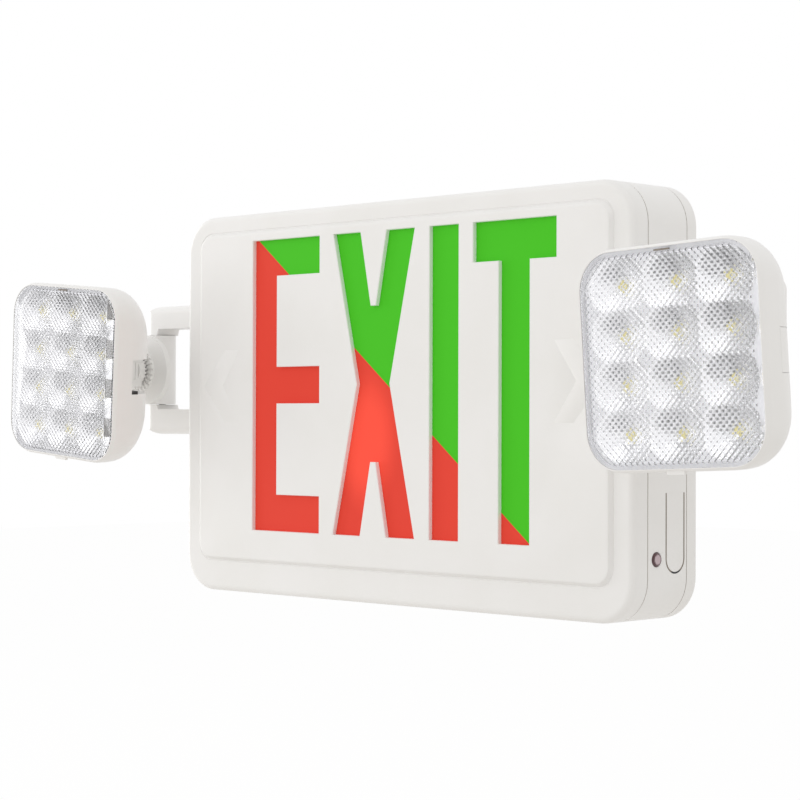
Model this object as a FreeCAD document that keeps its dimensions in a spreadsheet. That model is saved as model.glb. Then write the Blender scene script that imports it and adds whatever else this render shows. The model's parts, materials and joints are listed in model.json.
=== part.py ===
"""Emergency exit light: a wall-hung sign housing with two adjustable lamp heads.

The frame's origin is the middle of the back plate's rear face, which lies on the wall.
+X points to the sign's right, +Z up and -Y out of the wall, towards whoever reads the sign.
Distances out of the wall are called depths, so a depth of d is Y = -d.

Every lamp head is drawn in a frame of its own, whose origin is the middle of the swivel disc's
front face: +X right, +Z up, and the head reaches forward along -Y. Distances along it are called
reaches. The frame is then set down in front of its yoke, a little turned and aimed down.
"""
import FreeCAD
import Part

import math
import os
import re

import Sketcher

OUTPUT_FOLDER = "parts"
SHEET = "Dims"
LEFT, RIGHT = -1, 1

# Driving dimensions: name, value in millimetres (or degrees, or a count), meaning.
DIMENSIONS = (
    ("housing_width", 310.0, "outside width of the sign housing"),
    ("housing_height", 201.0, "outside height of the sign housing"),
    ("housing_corner", 20.0, "corner radius of the housing outline"),
    ("housing_wall", 2.4, "wall of the three housing mouldings"),
    ("back_depth", 8.1, "depth of the back plate"),
    ("back_floor", 2.4, "floor of the back plate"),
    ("back_edge", 2.0, "rounding of the back plate's rear edge"),
    ("frame_depth", 28.6, "depth of the middle frame"),
    ("cover_depth", 10.5, "depth of the front cover up to its rim"),
    ("cover_edge", 3.0, "rounding of the front cover's outer edge"),
    ("cover_face", 2.4, "thickness of the front cover's face"),
    ("panel_rise", 1.8, "height of the raised panel above the cover's rim"),
    ("panel_bevel", 1.4, "bevel round the raised panel"),
    ("panel_side_margin", 11.7, "rim beside the raised panel"),
    ("panel_top_margin", 9.6, "rim above the raised panel"),
    ("panel_bottom_margin", 16.8, "rim below the raised panel"),
    ("panel_corner", 9.0, "corner radius of the raised panel"),
    ("parting_groove", 0.4, "chamfer on the frame where it meets its neighbours"),
    ("lip_height", 2.0, "locating lip on the back plate and the front cover"),
    ("lip_wall", 1.2, "wall of the locating lips"),
    ("lip_clearance", 0.15, "play between a locating lip and the frame"),
    ("part_clearance", 0.3, "play between loosely fitted pieces"),
    ("pin_clearance", 0.05, "radial running clearance of a pin in its bore"),
    ("seat_clearance", 0.02, "radial clearance of a pin held in its seat"),
    ("post_inset", 11.0, "corner posts, from the housing's outside to their axes"),
    ("post_swell", 1.0, "how much wider the frame's own corner posts are, to join its wall"),
    ("post_radius", 4.5, "radius of the corner posts"),
    ("case_screw_radius", 1.6, "shank radius of the case screws"),
    ("case_screw_head", 3.2, "head radius of the case screws"),
    ("case_screw_length", 16.0, "length of a case screw under its head"),
    ("box_pattern_height", 30.0, "height of the junction-box pattern above the middle"),
    ("wire_entry_radius", 11.1, "radius of the wire entry"),
    ("octagon_spacing", 88.9, "screw spacing of an octagon box"),
    ("gang_spacing", 83.3, "screw spacing of a single-gang box"),
    ("box_screw_radius", 2.25, "radius of the junction-box screw holes"),
    ("legend_shift", 6.0, "legend's middle, right of the housing's"),
    ("legend_height", 9.3, "legend's middle, above the housing's"),
    ("diffuser_width", 250.0, "width of the coloured diffuser"),
    ("diffuser_height", 156.0, "height of the coloured diffuser"),
    ("diffuser_sheet", 1.5, "thickness of the coloured diffuser"),
    ("tray_depth", 18.0, "depth of the light tray"),
    ("tray_flare", 7.0, "how far the light tray's sides lean out"),
    ("tray_wall", 1.5, "wall of the light tray"),
    ("strip_width", 218.0, "length of an LED strip board"),
    ("strip_height", 10.0, "height of an LED strip board"),
    ("strip_spacing", 72.0, "distance between the two LED strip boards"),
    ("board_sheet", 1.6, "thickness of the circuit boards"),
    ("sign_led_count", 10, "LEDs on each strip board"),
    ("sign_led_size", 3.0, "side of a sign LED"),
    ("sign_led_height", 1.2, "height of a sign LED"),
    ("main_board_width", 108.0, "width of the main board"),
    ("main_board_height", 56.0, "height of the main board"),
    ("main_board_x", 62.0, "main board's middle, right of the housing's"),
    ("main_board_z", -55.0, "main board's middle, above the housing's"),
    ("standoff_height", 5.0, "board posts on the back plate"),
    ("standoff_radius", 3.2, "radius of the board posts"),
    ("board_hole_inset", 5.0, "board screws, from the board's edges"),
    ("board_screw_radius", 1.2, "shank radius of the board screws"),
    ("board_screw_head", 2.6, "head radius of the board screws"),
    ("cell_radius", 7.2, "radius of a battery cell"),
    ("cell_length", 50.5, "length of a battery cell"),
    ("cell_count", 3, "cells in the battery pack"),
    ("cell_overlap", 0.3, "how far neighbouring cells press into the wrap between them"),
    ("battery_x", -98.0, "battery pack's middle, right of the housing's"),
    ("battery_z", -60.0, "battery pack's middle, above the housing's"),
    ("strap_width", 14.0, "width of the battery strap"),
    ("strap_sheet", 0.8, "thickness of the battery strap"),
    ("strap_foot", 9.0, "length of the battery strap's feet"),
    ("core_width", 36.0, "width of the transformer core"),
    ("core_height", 30.0, "height of the transformer core"),
    ("core_depth", 13.0, "stack of the transformer core"),
    ("winding_depth", 20.0, "depth of the transformer winding"),
    ("winding_width", 22.0, "width of the transformer winding"),
    ("core_foot", 1.2, "thickness of the transformer's foot plate"),
    ("core_foot_margin", 7.0, "transformer's foot plate beside its core"),
    ("transformer_x", -34.0, "transformer's middle, right of the housing's"),
    ("terminal_count", 3, "poles of the terminal block"),
    ("terminal_pitch", 10.0, "spacing of the terminal block's poles"),
    ("terminal_side", 12.0, "height of the terminal block across its poles"),
    ("terminal_depth", 11.0, "depth of the terminal block"),
    ("terminal_bore", 2.0, "radius of the terminal block's wire ways"),
    ("terminal_x", 72.0, "terminal block's middle, right of the housing's"),
    ("terminal_z", 30.0, "terminal block's middle, above the housing's"),
    ("capacitor_radius", 5.0, "radius of the capacitors"),
    ("capacitor_height", 13.0, "height of the capacitors"),
    ("relay_width", 19.0, "width of the relay"),
    ("relay_height", 15.0, "height of the relay"),
    ("relay_depth", 14.0, "depth of the relay"),
    ("header_width", 16.0, "width of the battery connector"),
    ("header_height", 6.0, "height of the battery connector"),
    ("header_depth", 8.0, "depth of the battery connector"),
    ("side_board_width", 25.0, "width of the side board, out of the wall"),
    ("side_board_height", 34.0, "height of the side board"),
    ("side_board_depth", 10.5, "depth at which the side board starts"),
    ("side_board_z", -66.5, "height of the side board's middle"),
    ("side_post_radius", 2.2, "radius of the side board's posts"),
    ("side_post_spacing", 27.0, "distance between the side board's posts"),
    ("tongue_width", 12.3, "width of the test button's tongue"),
    ("tongue_length", 36.0, "length of the test button's tongue"),
    ("tongue_sheet", 1.6, "thickness of the test button's tongue"),
    ("tongue_slit", 0.9, "slit round the test button's tongue"),
    ("tongue_root_gap", 0.15, "gap at the tongue's hinge line"),
    ("tongue_root_z", -41.4, "height of the tongue's hinge line"),
    ("tongue_depth_out", 16.85, "depth of the tongue's middle line"),
    ("pip_drop", 28.0, "switch axis below the tongue's hinge line"),
    ("pip_radius", 1.6, "radius of the pip behind the tongue"),
    ("pip_length", 3.4, "length of the pip behind the tongue"),
    ("switch_gap", 0.2, "gap between the pip and the switch plunger"),
    ("plunger_radius", 1.5, "radius of the switch plunger"),
    ("plunger_length", 5.6, "length of the switch plunger"),
    ("switch_floor", 0.4, "floor of the switch body"),
    ("plunger_travel", 1.5, "room behind the switch plunger"),
    ("switch_side", 6.0, "side of the switch body"),
    ("switch_height", 4.4, "height of the switch body"),
    ("lamp_radius", 3.4, "radius of the charge lamp's lens"),
    ("lamp_flange", 4.0, "radius of the charge lamp's flange"),
    ("lamp_depth_out", 30.5, "depth of the charge lamp's axis"),
    ("lamp_z", -71.3, "height of the charge lamp's axis"),
    ("lamp_flange_sheet", 1.2, "thickness of the charge lamp's flange"),
    ("lamp_hole_play", 0.1, "radial play of the charge lamp in its hole"),
    ("lamp_led_radius", 1.5, "radius of the charge lamp's LED"),
    ("lamp_led_length", 5.0, "length of the charge lamp's LED"),
    ("lamp_dome", 0.8, "how far the charge lamp's lens stands out"),
    ("pivot_reach", 54.0, "yoke pivots, beside the housing"),
    ("pivot_depth", 21.0, "depth of the yoke pivots"),
    ("arm_radius", 7.7, "half the width of a yoke arm"),
    ("arm_corner", 13.0, "rounding of a yoke arm's outer corner"),
    ("arm_edge", 4.0, "rounding along a yoke arm's outer edges"),
    ("upper_arm", 12.7, "height of the upper yoke arm"),
    ("upper_boss", 3.4, "boss under the upper yoke arm"),
    ("lower_arm", 13.9, "height of the lower yoke arm"),
    ("lower_boss", 2.7, "boss on the lower yoke arm"),
    ("boss_half", 4.6, "half the length of a yoke boss"),
    ("boss_slope", 1.0, "run-out of a yoke boss"),
    ("flange_sheet", 3.0, "thickness of the yoke's flange inside the housing"),
    ("flange_margin", 5.0, "yoke flange beyond its arms"),
    ("yoke_screw_radius", 1.3, "shank radius of the yoke screws"),
    ("yoke_screw_head", 2.7, "head radius of the yoke screws"),
    ("screw_head_height", 2.2, "head height of the case, board and yoke screws"),
    ("yoke_screw_bite", 1.8, "yoke screws inside the housing wall"),
    ("yoke_screw_spacing", 22.0, "distance between a yoke's two screws"),
    ("block_height", 39.0, "height of the swivel block"),
    ("block_centre_z", 19.5, "height of the swivel block's middle"),
    ("boss_gap", 0.3, "play between the swivel block and each yoke boss"),
    ("pivot_pin_radius", 2.0, "radius of the pivot pin"),
    ("pivot_pin_bite", 8.5, "pivot pin inside each yoke arm"),
    ("aim_down", 2.0, "downward aim of the swivel disc, in degrees"),
    ("left_roll", 5.0, "left lamp head as set, turned about its disc, in degrees"),
    ("right_roll", -2.4, "right lamp head as set, turned about its disc, in degrees"),
    ("disc_depth", 33.6, "depth of the swivel disc's front face"),
    ("disc_radius", 19.3, "radius of the swivel disc"),
    ("disc_rim", 3.4, "thickness of the swivel disc's rim"),
    ("step_radius", 15.2, "radius of the step on the swivel disc"),
    ("step_reach", 1.7, "height of the step on the swivel disc"),
    ("ring_radius", 12.0, "radius of the toothed ring"),
    ("ring_bore", 6.2, "bore of the toothed ring"),
    ("ring_reach", 5.2, "reach of the toothed ring's teeth"),
    ("tooth_count", 24, "teeth of the face ratchet"),
    ("tooth_height", 1.2, "height of a ratchet tooth"),
    ("tooth_gap_width", 1.1, "width of the gap between two ratchet teeth"),
    ("tooth_gap", 0.3, "gap between the two rings of teeth"),
    ("hub_radius", 8.4, "radius of the knuckle's hub"),
    ("hub_reach", 10.5, "reach of the knuckle's hub"),
    ("neck_half", 7.2, "half the width of the knuckle's neck"),
    ("neck_play", 0.5, "play between the knuckle's neck and the pocket above and below it"),
    ("ear_slot", 9.6, "slot between the knuckle's ears"),
    ("ear_slot_reach", 12.5, "reach at which the slot between the ears starts"),
    ("hinge_reach", 34.0, "reach of the lamp head's hinge axis"),
    ("hinge_pin_radius", 1.75, "radius of the lamp head's hinge pin"),
    ("shoulder_radius", 2.4, "shank radius of the shoulder screw"),
    ("shoulder_bite", 9.0, "shoulder screw inside the swivel block"),
    ("shoulder_head", 3.9, "head radius of the shoulder screw"),
    ("shoulder_head_height", 2.4, "head height of the shoulder screw"),
    ("spring_wire", 0.45, "wire radius of the ratchet spring"),
    ("spring_radius", 3.3, "mean radius of the ratchet spring"),
    ("spring_turns", 3.0, "turns of the ratchet spring"),
    ("spring_length", 4.4, "length of the ratchet spring"),
    ("head_size", 95.0, "outside of a lamp head's casing"),
    ("head_corner", 15.0, "corner radius of a lamp head's casing"),
    ("head_dome", 28.0, "rounding of a lamp head's back edges"),
    ("head_wall", 2.2, "wall of a lamp head's casing"),
    ("head_back", 22.4, "reach of a lamp head's flat back"),
    ("rim_reach", 56.9, "reach of a lamp head's open rim"),
    ("pocket_height", 18.6, "height of the pocket in a lamp head's back"),
    ("pocket_side_play", 0.4, "play between the knuckle's neck and the pocket's shut side"),
    ("pocket_front", 46.2, "reach of the pocket's floor"),
    ("pocket_wall", 1.6, "wall of the pocket"),
    ("lens_margin", 1.5, "casing's rim beside a lamp lens"),
    ("lens_corner", 13.0, "corner radius of a lamp lens"),
    ("lens_sheet", 2.2, "thickness of a lamp lens"),
    ("lens_edge", 1.2, "rounding of a lamp lens"),
    ("lens_stand", 1.5, "how far a lamp lens stands out of its casing"),
    ("skirt_wall", 1.3, "wall of a lamp lens's skirt"),
    ("skirt_height", 3.6, "height of a lamp lens's skirt"),
    ("reflector_margin", 2.0, "play between a reflector and its casing's wall"),
    ("reflector_corner", 10.0, "corner radius of a reflector"),
    ("stack_gap", 0.1, "play between the pieces stacked in a lamp head"),
    ("cup_columns", 3, "columns of cups in a reflector"),
    ("cup_rows", 4, "rows of cups in a reflector"),
    ("cup_column_pitch", 27.4, "distance between columns of cups"),
    ("cup_row_pitch", 21.0, "distance between rows of cups"),
    ("cup_mouth", 9.9, "radius of a cup's mouth"),
    ("cup_root", 3.2, "radius of a cup's root"),
    ("head_board_margin", 2.3, "reflector beyond the lamp board"),
    ("head_board_sheet", 1.0, "thickness of a lamp board"),
    ("head_led_size", 3.4, "side of a lamp LED"),
    ("head_led_height", 0.8, "height of a lamp LED"),
    ("dome_steps", 5, "sections over the rounding of a lamp head's back"),
)


class Workshop:
    """The document, its sheet of driving dimensions and the plain ways of making a solid."""

    def __init__(self, name, dimensions):
        self.document = FreeCAD.newDocument(name)
        self.sheet = self.document.addObject("Spreadsheet::Sheet", SHEET)
        self.aliases = set()
        self.nodes = {}
        for row, (alias, value, meaning) in enumerate(dimensions, start=1):
            self.sheet.set(f"A{row}", meaning)
            self.sheet.set(f"B{row}", str(value))
            self.sheet.setAlias(f"B{row}", alias)
            self.aliases.add(alias)
        self.document.recompute()

    def refer(self, formula):
        """A formula whose dimension names point at the sheet."""
        return re.sub(r"[a-z]\w*", lambda word: f"{SHEET}.{word[0]}" if word[0] in self.aliases else word[0],
                      str(formula))

    def measure(self, formula):
        """The present value of a formula."""
        return float(self.sheet.evalExpression(str(formula)))

    def bind(self, thing, **formulas):
        """Binds properties to formulas; a double underscore stands for a dot."""
        for name, formula in formulas.items():
            thing.setExpression(name.replace("__", "."), self.refer(formula))
        return thing

    def put(self, thing, x=0, y=0, z=0):
        """Binds a thing's place."""
        return self.bind(thing, Placement__Base__x=x, Placement__Base__y=y, Placement__Base__z=z)

    def block(self, name, width, height, thickness, x, depth, z):
        """A box centred on x and z, whose side nearest the wall is at the given depth."""
        box = self.document.addObject("Part::Box", name)
        self.bind(box, Length=width, Width=thickness, Height=height)
        return self.put(box, f"{x} - ({width}) / 2", f"-({depth}) - ({thickness})", f"{z} - ({height}) / 2")

    def round_bar(self, kind, name, turn, x, y, z, **sizes):
        """A cylinder or cone that starts at a point and is turned from +Z onto its direction."""
        bar = self.document.addObject(kind, name)
        bar.Placement = FreeCAD.Placement(FreeCAD.Vector(), turn)
        return self.put(self.bind(bar, **sizes), x, y, z)

    def outward_rod(self, name, radius, length, x, depth, z):
        """A cylinder that starts at a depth and points out of the wall."""
        turn = FreeCAD.Rotation(FreeCAD.Vector(1, 0, 0), 90)
        return self.round_bar("Part::Cylinder", name, turn, x, f"-({depth})", z, Radius=radius, Height=length)

    def sideways_rod(self, name, radius, length, x, depth, z):
        """A cylinder that starts at x and points to +X."""
        turn = FreeCAD.Rotation(FreeCAD.Vector(0, 1, 0), 90)
        return self.round_bar("Part::Cylinder", name, turn, x, f"-({depth})", z, Radius=radius, Height=length)

    def upright_rod(self, name, radius, length, x, depth, z):
        """A cylinder that starts at z and points up."""
        turn = FreeCAD.Rotation()
        return self.round_bar("Part::Cylinder", name, turn, x, f"-({depth})", z, Radius=radius, Height=length)

    def outward_cone(self, name, root, mouth, length, x, depth, z):
        """A cone that starts at a depth with one radius and ends further out with another."""
        turn = FreeCAD.Rotation(FreeCAD.Vector(1, 0, 0), 90)
        sizes = {"Radius1": root, "Radius2": mouth, "Height": length}
        return self.round_bar("Part::Cone", name, turn, x, f"-({depth})", z, **sizes)

    def join(self, name, pieces):
        """The union of two pieces or more."""
        union = self.document.addObject("Part::MultiFuse", name)
        union.Shapes = list(pieces)
        return union

    def cut(self, name, stock, tools):
        """What is left of the stock when every tool has been cut from it."""
        difference = self.document.addObject("Part::Cut", name)
        difference.Base = stock
        difference.Tool = tools[0] if len(tools) == 1 else self.join(f"{name}_tools", tools)
        return difference

    def group(self, name, pieces):
        """Separate like pieces that share one node."""
        compound = self.document.addObject("Part::Compound", name)
        compound.Links = list(pieces)
        return compound

    def section(self, name, reach):
        """A free sketch in a head's frame, across its axis at a reach."""
        sketch = self.document.addObject("Sketcher::SketchObject", name)
        sketch.Placement = FreeCAD.Placement(FreeCAD.Vector(), FreeCAD.Rotation(FreeCAD.Vector(1, 0, 0), 90))
        self.put(sketch, y=f"-({reach})")
        return Drawing(self, sketch)

    def loft(self, name, drawings):
        """A solid skinned over sections."""
        solid = self.document.addObject("Part::Loft", name)
        solid.Sections = [drawing.sketch for drawing in drawings]
        solid.Solid = True
        solid.Ruled = False
        return solid

    def prism(self, name, drawing, length):
        """A section pulled forward along its normal."""
        solid = self.document.addObject("Part::Extrusion", name)
        solid.Base = drawing.sketch
        solid.DirMode = "Normal"
        solid.Solid = True
        return self.bind(solid, LengthFwd=length)

    def node(self, label, thing, placement=None):
        """Names a finished piece and, if it is given, sets its placement."""
        thing.Label = label
        if placement is not None:
            thing.Placement = placement
        self.nodes[label] = thing
        return thing

    def finish(self):
        """Recomputes, checks every object and writes each node's file."""
        self.document.recompute()
        failed = [thing.Label for thing in self.document.Objects if {"Invalid", "Error"} & set(thing.State)]
        if failed:
            raise RuntimeError(f"failed: {', '.join(failed)}")
        for label, thing in self.nodes.items():
            if thing.Shape.isNull() or not thing.Shape.isValid() or not thing.Shape.Solids:
                raise RuntimeError(f"{label} has no valid solid")
        os.makedirs(OUTPUT_FOLDER, exist_ok=True)
        for label, thing in self.nodes.items():
            thing.Shape.exportStep(os.path.join(OUTPUT_FOLDER, f"{label}.step"))


class Drawing:
    """A sketch whose every size is a constraint bound to a formula."""

    def __init__(self, shop, sketch):
        self.shop = shop
        self.sketch = sketch

    def fix(self, kind, formula, *where):
        """Adds a dimensional constraint and binds it."""
        index = self.sketch.addConstraint(Sketcher.Constraint(kind, *where, self.shop.measure(formula)))
        name = f"size_{index}"
        self.sketch.renameConstraint(index, name)
        self.sketch.setExpression(f"Constraints.{name}", self.shop.refer(formula))

    def fix_point(self, geometry, end, across, up):
        """Dimensions a point from the sketch's origin."""
        self.fix("DistanceX", across, -1, 1, geometry, end)
        self.fix("DistanceY", up, -1, 1, geometry, end)

    def outline(self, corners):
        """A closed outline of straight lines through corners given as pairs of formulas."""
        points = [FreeCAD.Vector(self.shop.measure(a), self.shop.measure(b), 0) for a, b in corners]
        lines = [self.sketch.addGeometry(Part.LineSegment(start, end))
                 for start, end in zip(points, points[1:] + points[:1])]
        for line, following in zip(lines, lines[1:] + lines[:1]):
            self.sketch.addConstraint(Sketcher.Constraint("Coincident", line, 2, following, 1))
        for line, (across, up) in zip(lines, corners):
            self.fix_point(line, 1, across, up)
        return self

    def rectangle(self, width, height, across=0, up=0):
        """A plain rectangle about a middle point."""
        left, right = f"{across} - ({width}) / 2", f"{across} + ({width}) / 2"
        low, high = f"{up} - ({height}) / 2", f"{up} + ({height}) / 2"
        return self.outline([(left, low), (right, low), (right, high), (left, high)])

    def rounded(self, width, height, radius, across=0, up=0):
        """A rectangle with four round corners about a middle point."""
        measure = self.shop.measure
        r = measure(radius)
        left, right = measure(f"{across} - ({width}) / 2"), measure(f"{across} + ({width}) / 2")
        low, high = measure(f"{up} - ({height}) / 2"), measure(f"{up} + ({height}) / 2")
        runs = (((left + r, low), (right - r, low)), ((right, low + r), (right, high - r)),
                ((right - r, high), (left + r, high)), ((left, high - r), (left, low + r)))
        hubs = ((right - r, low + r), (right - r, high - r), (left + r, high - r), (left + r, low + r))
        add = self.sketch.addGeometry
        sides = [add(Part.LineSegment(FreeCAD.Vector(*a, 0), FreeCAD.Vector(*b, 0))) for a, b in runs]
        arcs = []
        for quarter, hub in enumerate(hubs):
            circle = Part.Circle(FreeCAD.Vector(*hub, 0), FreeCAD.Vector(0, 0, 1), r)
            start = (quarter - 1) * math.pi / 2
            arcs.append(add(Part.ArcOfCircle(circle, start, start + math.pi / 2)))
        bottom, side, top, other = sides
        for line, arc, following in zip(sides, arcs, sides[1:] + sides[:1]):
            self.sketch.addConstraint(Sketcher.Constraint("Tangent", line, 2, arc, 1))
            self.sketch.addConstraint(Sketcher.Constraint("Tangent", arc, 2, following, 1))
        for line, way in ((bottom, "Horizontal"), (side, "Vertical"), (top, "Horizontal"), (other, "Vertical")):
            self.sketch.addConstraint(Sketcher.Constraint(way, line))
        for arc in arcs[1:]:
            self.sketch.addConstraint(Sketcher.Constraint("Equal", arcs[0], arc))
        self.fix("Radius", radius, arcs[0])
        self.fix("DistanceX", width, other, 1, side, 1)
        self.fix("DistanceY", height, bottom, 1, top, 1)
        self.fix("DistanceX", f"{across} - ({width}) / 2", -1, 1, other, 1)
        self.fix("DistanceY", f"{up} - ({height}) / 2", -1, 1, bottom, 1)
        return self

    def circle(self, radius, across=0, up=0):
        """A circle about a middle point."""
        measure = self.shop.measure
        middle = FreeCAD.Vector(measure(across), measure(up), 0)
        ring = self.sketch.addGeometry(Part.Circle(middle, FreeCAD.Vector(0, 0, 1), measure(radius)))
        self.fix("Radius", radius, ring)
        self.fix_point(ring, 3, across, up)
        return self


    def strip(self, width, length, across, top):
        """A strip that hangs from its top edge's middle and ends in a half round."""
        measure = self.shop.measure
        half, middle, high = measure(width) / 2, measure(across), measure(top)
        hub = measure(f"{top} - ({length}) + ({width}) / 2")
        add = self.sketch.addGeometry

        def line(start, end):
            return add(Part.LineSegment(FreeCAD.Vector(*start, 0), FreeCAD.Vector(*end, 0)))

        crown = line((middle + half, high), (middle - half, high))
        near = line((middle - half, high), (middle - half, hub))
        circle = Part.Circle(FreeCAD.Vector(middle, hub, 0), FreeCAD.Vector(0, 0, 1), half)
        toe = add(Part.ArcOfCircle(circle, math.pi, 2 * math.pi))
        far = line((middle + half, hub), (middle + half, high))
        constrain = self.sketch.addConstraint
        constrain(Sketcher.Constraint("Coincident", crown, 2, near, 1))
        constrain(Sketcher.Constraint("Tangent", near, 2, toe, 1))
        constrain(Sketcher.Constraint("Tangent", toe, 2, far, 1))
        constrain(Sketcher.Constraint("Coincident", far, 2, crown, 1))
        constrain(Sketcher.Constraint("Horizontal", crown))
        constrain(Sketcher.Constraint("Vertical", near))
        self.fix("DistanceX", width, crown, 2, crown, 1)
        self.fix("DistanceY", f"({length}) - ({width}) / 2", toe, 3, crown, 1)
        self.fix_point(crown, 1, f"{across} + ({width}) / 2", top)
        return self


class Moulding:
    """A PartDesign body: sketches on its own planes and the features made from them."""

    def __init__(self, shop, name):
        self.shop = shop
        self.name = name
        self.body = shop.document.addObject("PartDesign::Body", f"{name}_body")
        self.count = 0

    def origin(self, role):
        """One of the body's own planes or axes."""
        return next(part for part in self.body.Origin.OriginFeatures if part.Role == role)

    def draw(self, plane, offset=0):
        """A sketch on XZ (offset is a depth), XY (offset is Z) or YZ (offset is X)."""
        self.count += 1
        sketch = self.body.newObject("Sketcher::SketchObject", f"{self.name}_sketch_{self.count}")
        sketch.AttachmentSupport = [(self.origin(f"{plane}_Plane"), "")]
        sketch.MapMode = "FlatFace"
        self.shop.bind(sketch, AttachmentOffset__Base__z=offset)
        return Drawing(self.shop, sketch)

    def feature(self, kind, drawing=None, **formulas):
        """A feature of this body, made from a sketch and bound to formulas."""
        self.count += 1
        made = self.body.newObject(f"PartDesign::{kind}", f"{self.name}_{kind.lower()}_{self.count}")
        if drawing is not None:
            made.Profile = drawing.sketch
            drawing.sketch.Visibility = False
        return self.shop.bind(made, **formulas)

    def pad(self, drawing, length, both_ways=False, backward=False):
        """Pulls a sketch along its normal, half each way, or against its normal."""
        made = self.feature("Pad", drawing, Length=length)
        made.Midplane = both_ways
        made.Reversed = backward
        return made

    def pocket(self, drawing, length, both_ways=False, forward=False):
        """Cuts a sketch backwards along its normal, half each way, or forwards."""
        made = self.feature("Pocket", drawing, Length=length)
        made.Midplane = both_ways
        made.Reversed = forward
        return made

    def turned(self, drawing, axis):
        """Revolves a sketch a full turn about one of the body's own axes."""
        made = self.feature("Revolution", drawing)
        made.ReferenceAxis = (self.origin(f"{axis}_Axis"), [""])
        made.Angle = 360
        return made

    def repeat_round(self, made, axis, count):
        """Repeats a feature evenly round one of the body's own axes."""
        pattern = self.feature("PolarPattern", Occurrences=count)
        pattern.Originals = [made]
        pattern.Axis = (self.origin(f"{axis}_Axis"), [""])
        pattern.Angle = 360
        self.body.Tip = pattern
        return pattern

    def edges(self, test):
        """Names of the present edges whose bounding box passes a test."""
        self.shop.document.recompute()
        found = enumerate(self.body.Shape.Edges, start=1)
        return [f"Edge{number}" for number, edge in found if test(edge.BoundBox)]

    def dress(self, kind, size_name, size, test):
        """Rounds or bevels the edges that pass a test."""
        base, names = self.body.Tip, self.edges(test)
        made = self.feature(kind, **{size_name: size})
        made.Base = (base, names)
        self.body.Tip = made
        return made

    def fillet(self, radius, test):
        """Rounds edges."""
        return self.dress("Fillet", "Radius", radius, test)

    def chamfer(self, size, test):
        """Bevels edges."""
        return self.dress("Chamfer", "Size", size, test)


def flat_at(depth, tolerance=0.01):
    """A test for edges that lie wholly at one depth."""
    return lambda box: abs(box.YMin + depth) < tolerance and abs(box.YMax + depth) < tolerance


def wider_than(depth, width):
    """A test for edges at one depth that lie further out than half a width."""
    level = flat_at(depth)
    return lambda box: level(box) and max(abs(box.XMin), abs(box.XMax)) > width / 2


# Places that several pieces share, as formulas of the driving dimensions.
FRAME_FRONT = "(back_depth + frame_depth)"
COVER_RIM = f"({FRAME_FRONT} + cover_depth)"
COVER_FLOOR = f"({COVER_RIM} - cover_face)"
PANEL_FRONT = f"({COVER_RIM} + panel_rise)"
LIP_INSET = "(housing_wall + lip_clearance)"
INNER_INSET = f"({LIP_INSET} + lip_wall)"
POST_START = "(back_depth + lip_height)"
SCREW_SEAT = f"({POST_START} - screw_head_height)"
DIFFUSER_BACK = f"({COVER_FLOOR} + panel_rise - diffuser_sheet)"
TRAY_BACK = f"({DIFFUSER_BACK} - tray_depth)"
STRIP_BACK = f"({TRAY_BACK} + tray_wall)"
BOARD_BACK = "(back_floor + standoff_height)"
BOARD_FRONT = f"({BOARD_BACK} + board_sheet)"
PACK_HEIGHT = "((cell_count - 1) * (2 * cell_radius - cell_overlap) + 2 * cell_radius)"
PACK_MIDDLE = "(back_floor + cell_radius + stack_gap)"
SIDE_FACE = "(housing_width / 2)"
SIDE_INSIDE = f"({SIDE_FACE} - housing_wall)"
PIP_TIP = f"({SIDE_FACE} - tongue_sheet - pip_length)"
PLUNGER_TIP = f"({PIP_TIP} - switch_gap)"
SIDE_BOARD_FACE = f"({PLUNGER_TIP} - plunger_length - plunger_travel - switch_floor)"
SWITCH_Z = "(tongue_root_z - pip_drop)"
FLANGE_INSIDE = f"({SIDE_INSIDE} - flange_sheet)"
PIVOT_X = f"({SIDE_FACE} + pivot_reach)"
BLOCK_BOTTOM = "(block_centre_z - block_height / 2)"
BLOCK_TOP = "(block_centre_z + block_height / 2)"
LOWER_BOSS_TOP = f"({BLOCK_BOTTOM} - boss_gap)"
LOWER_ARM_TOP = f"({LOWER_BOSS_TOP} - lower_boss)"
LOWER_ARM_BOTTOM = f"({LOWER_ARM_TOP} - lower_arm)"
UPPER_BOSS_BOTTOM = f"({BLOCK_TOP} + boss_gap)"
UPPER_ARM_BOTTOM = f"({UPPER_BOSS_BOTTOM} + upper_boss)"
UPPER_ARM_TOP = f"({UPPER_ARM_BOTTOM} + upper_arm)"
HUB_BACK = "(ring_reach + tooth_gap)"
SPRING_BACK = "(ear_slot_reach + stack_gap)"
SHOULDER_SEAT = f"({SPRING_BACK} + spring_length + stack_gap)"
DOME_REACH = "(head_back + head_dome)"
LENS_BACK = "(rim_reach + lens_stand - lens_sheet)"
CASING_INSIDE = "(head_size - 2 * head_wall)"
LENS_SIZE = "(head_size - 2 * lens_margin)"
REFLECTOR_SIZE = f"({CASING_INSIDE} - 2 * reflector_margin)"
HEAD_BOARD_SIZE = f"({REFLECTOR_SIZE} - 2 * head_board_margin)"
NECK_HEIGHT = "(pocket_height - 2 * neck_play)"
POCKET_SHUT_SIDE = "(neck_half + pocket_side_play)"
HEAD_BOARD_BACK = "(pocket_front + pocket_wall + stack_gap)"
HEAD_BOARD_FRONT = f"({HEAD_BOARD_BACK} + head_board_sheet)"
REFLECTOR_BACK = f"({HEAD_BOARD_FRONT} + stack_gap)"
REFLECTOR_DEPTH = f"({LENS_BACK} - part_clearance - {REFLECTOR_BACK})"


def spread(count, pitch):
    """Evenly spaced offsets about zero, as formulas."""
    return [f"({step - (count - 1) / 2}) * ({pitch})" for step in range(count)]


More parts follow.
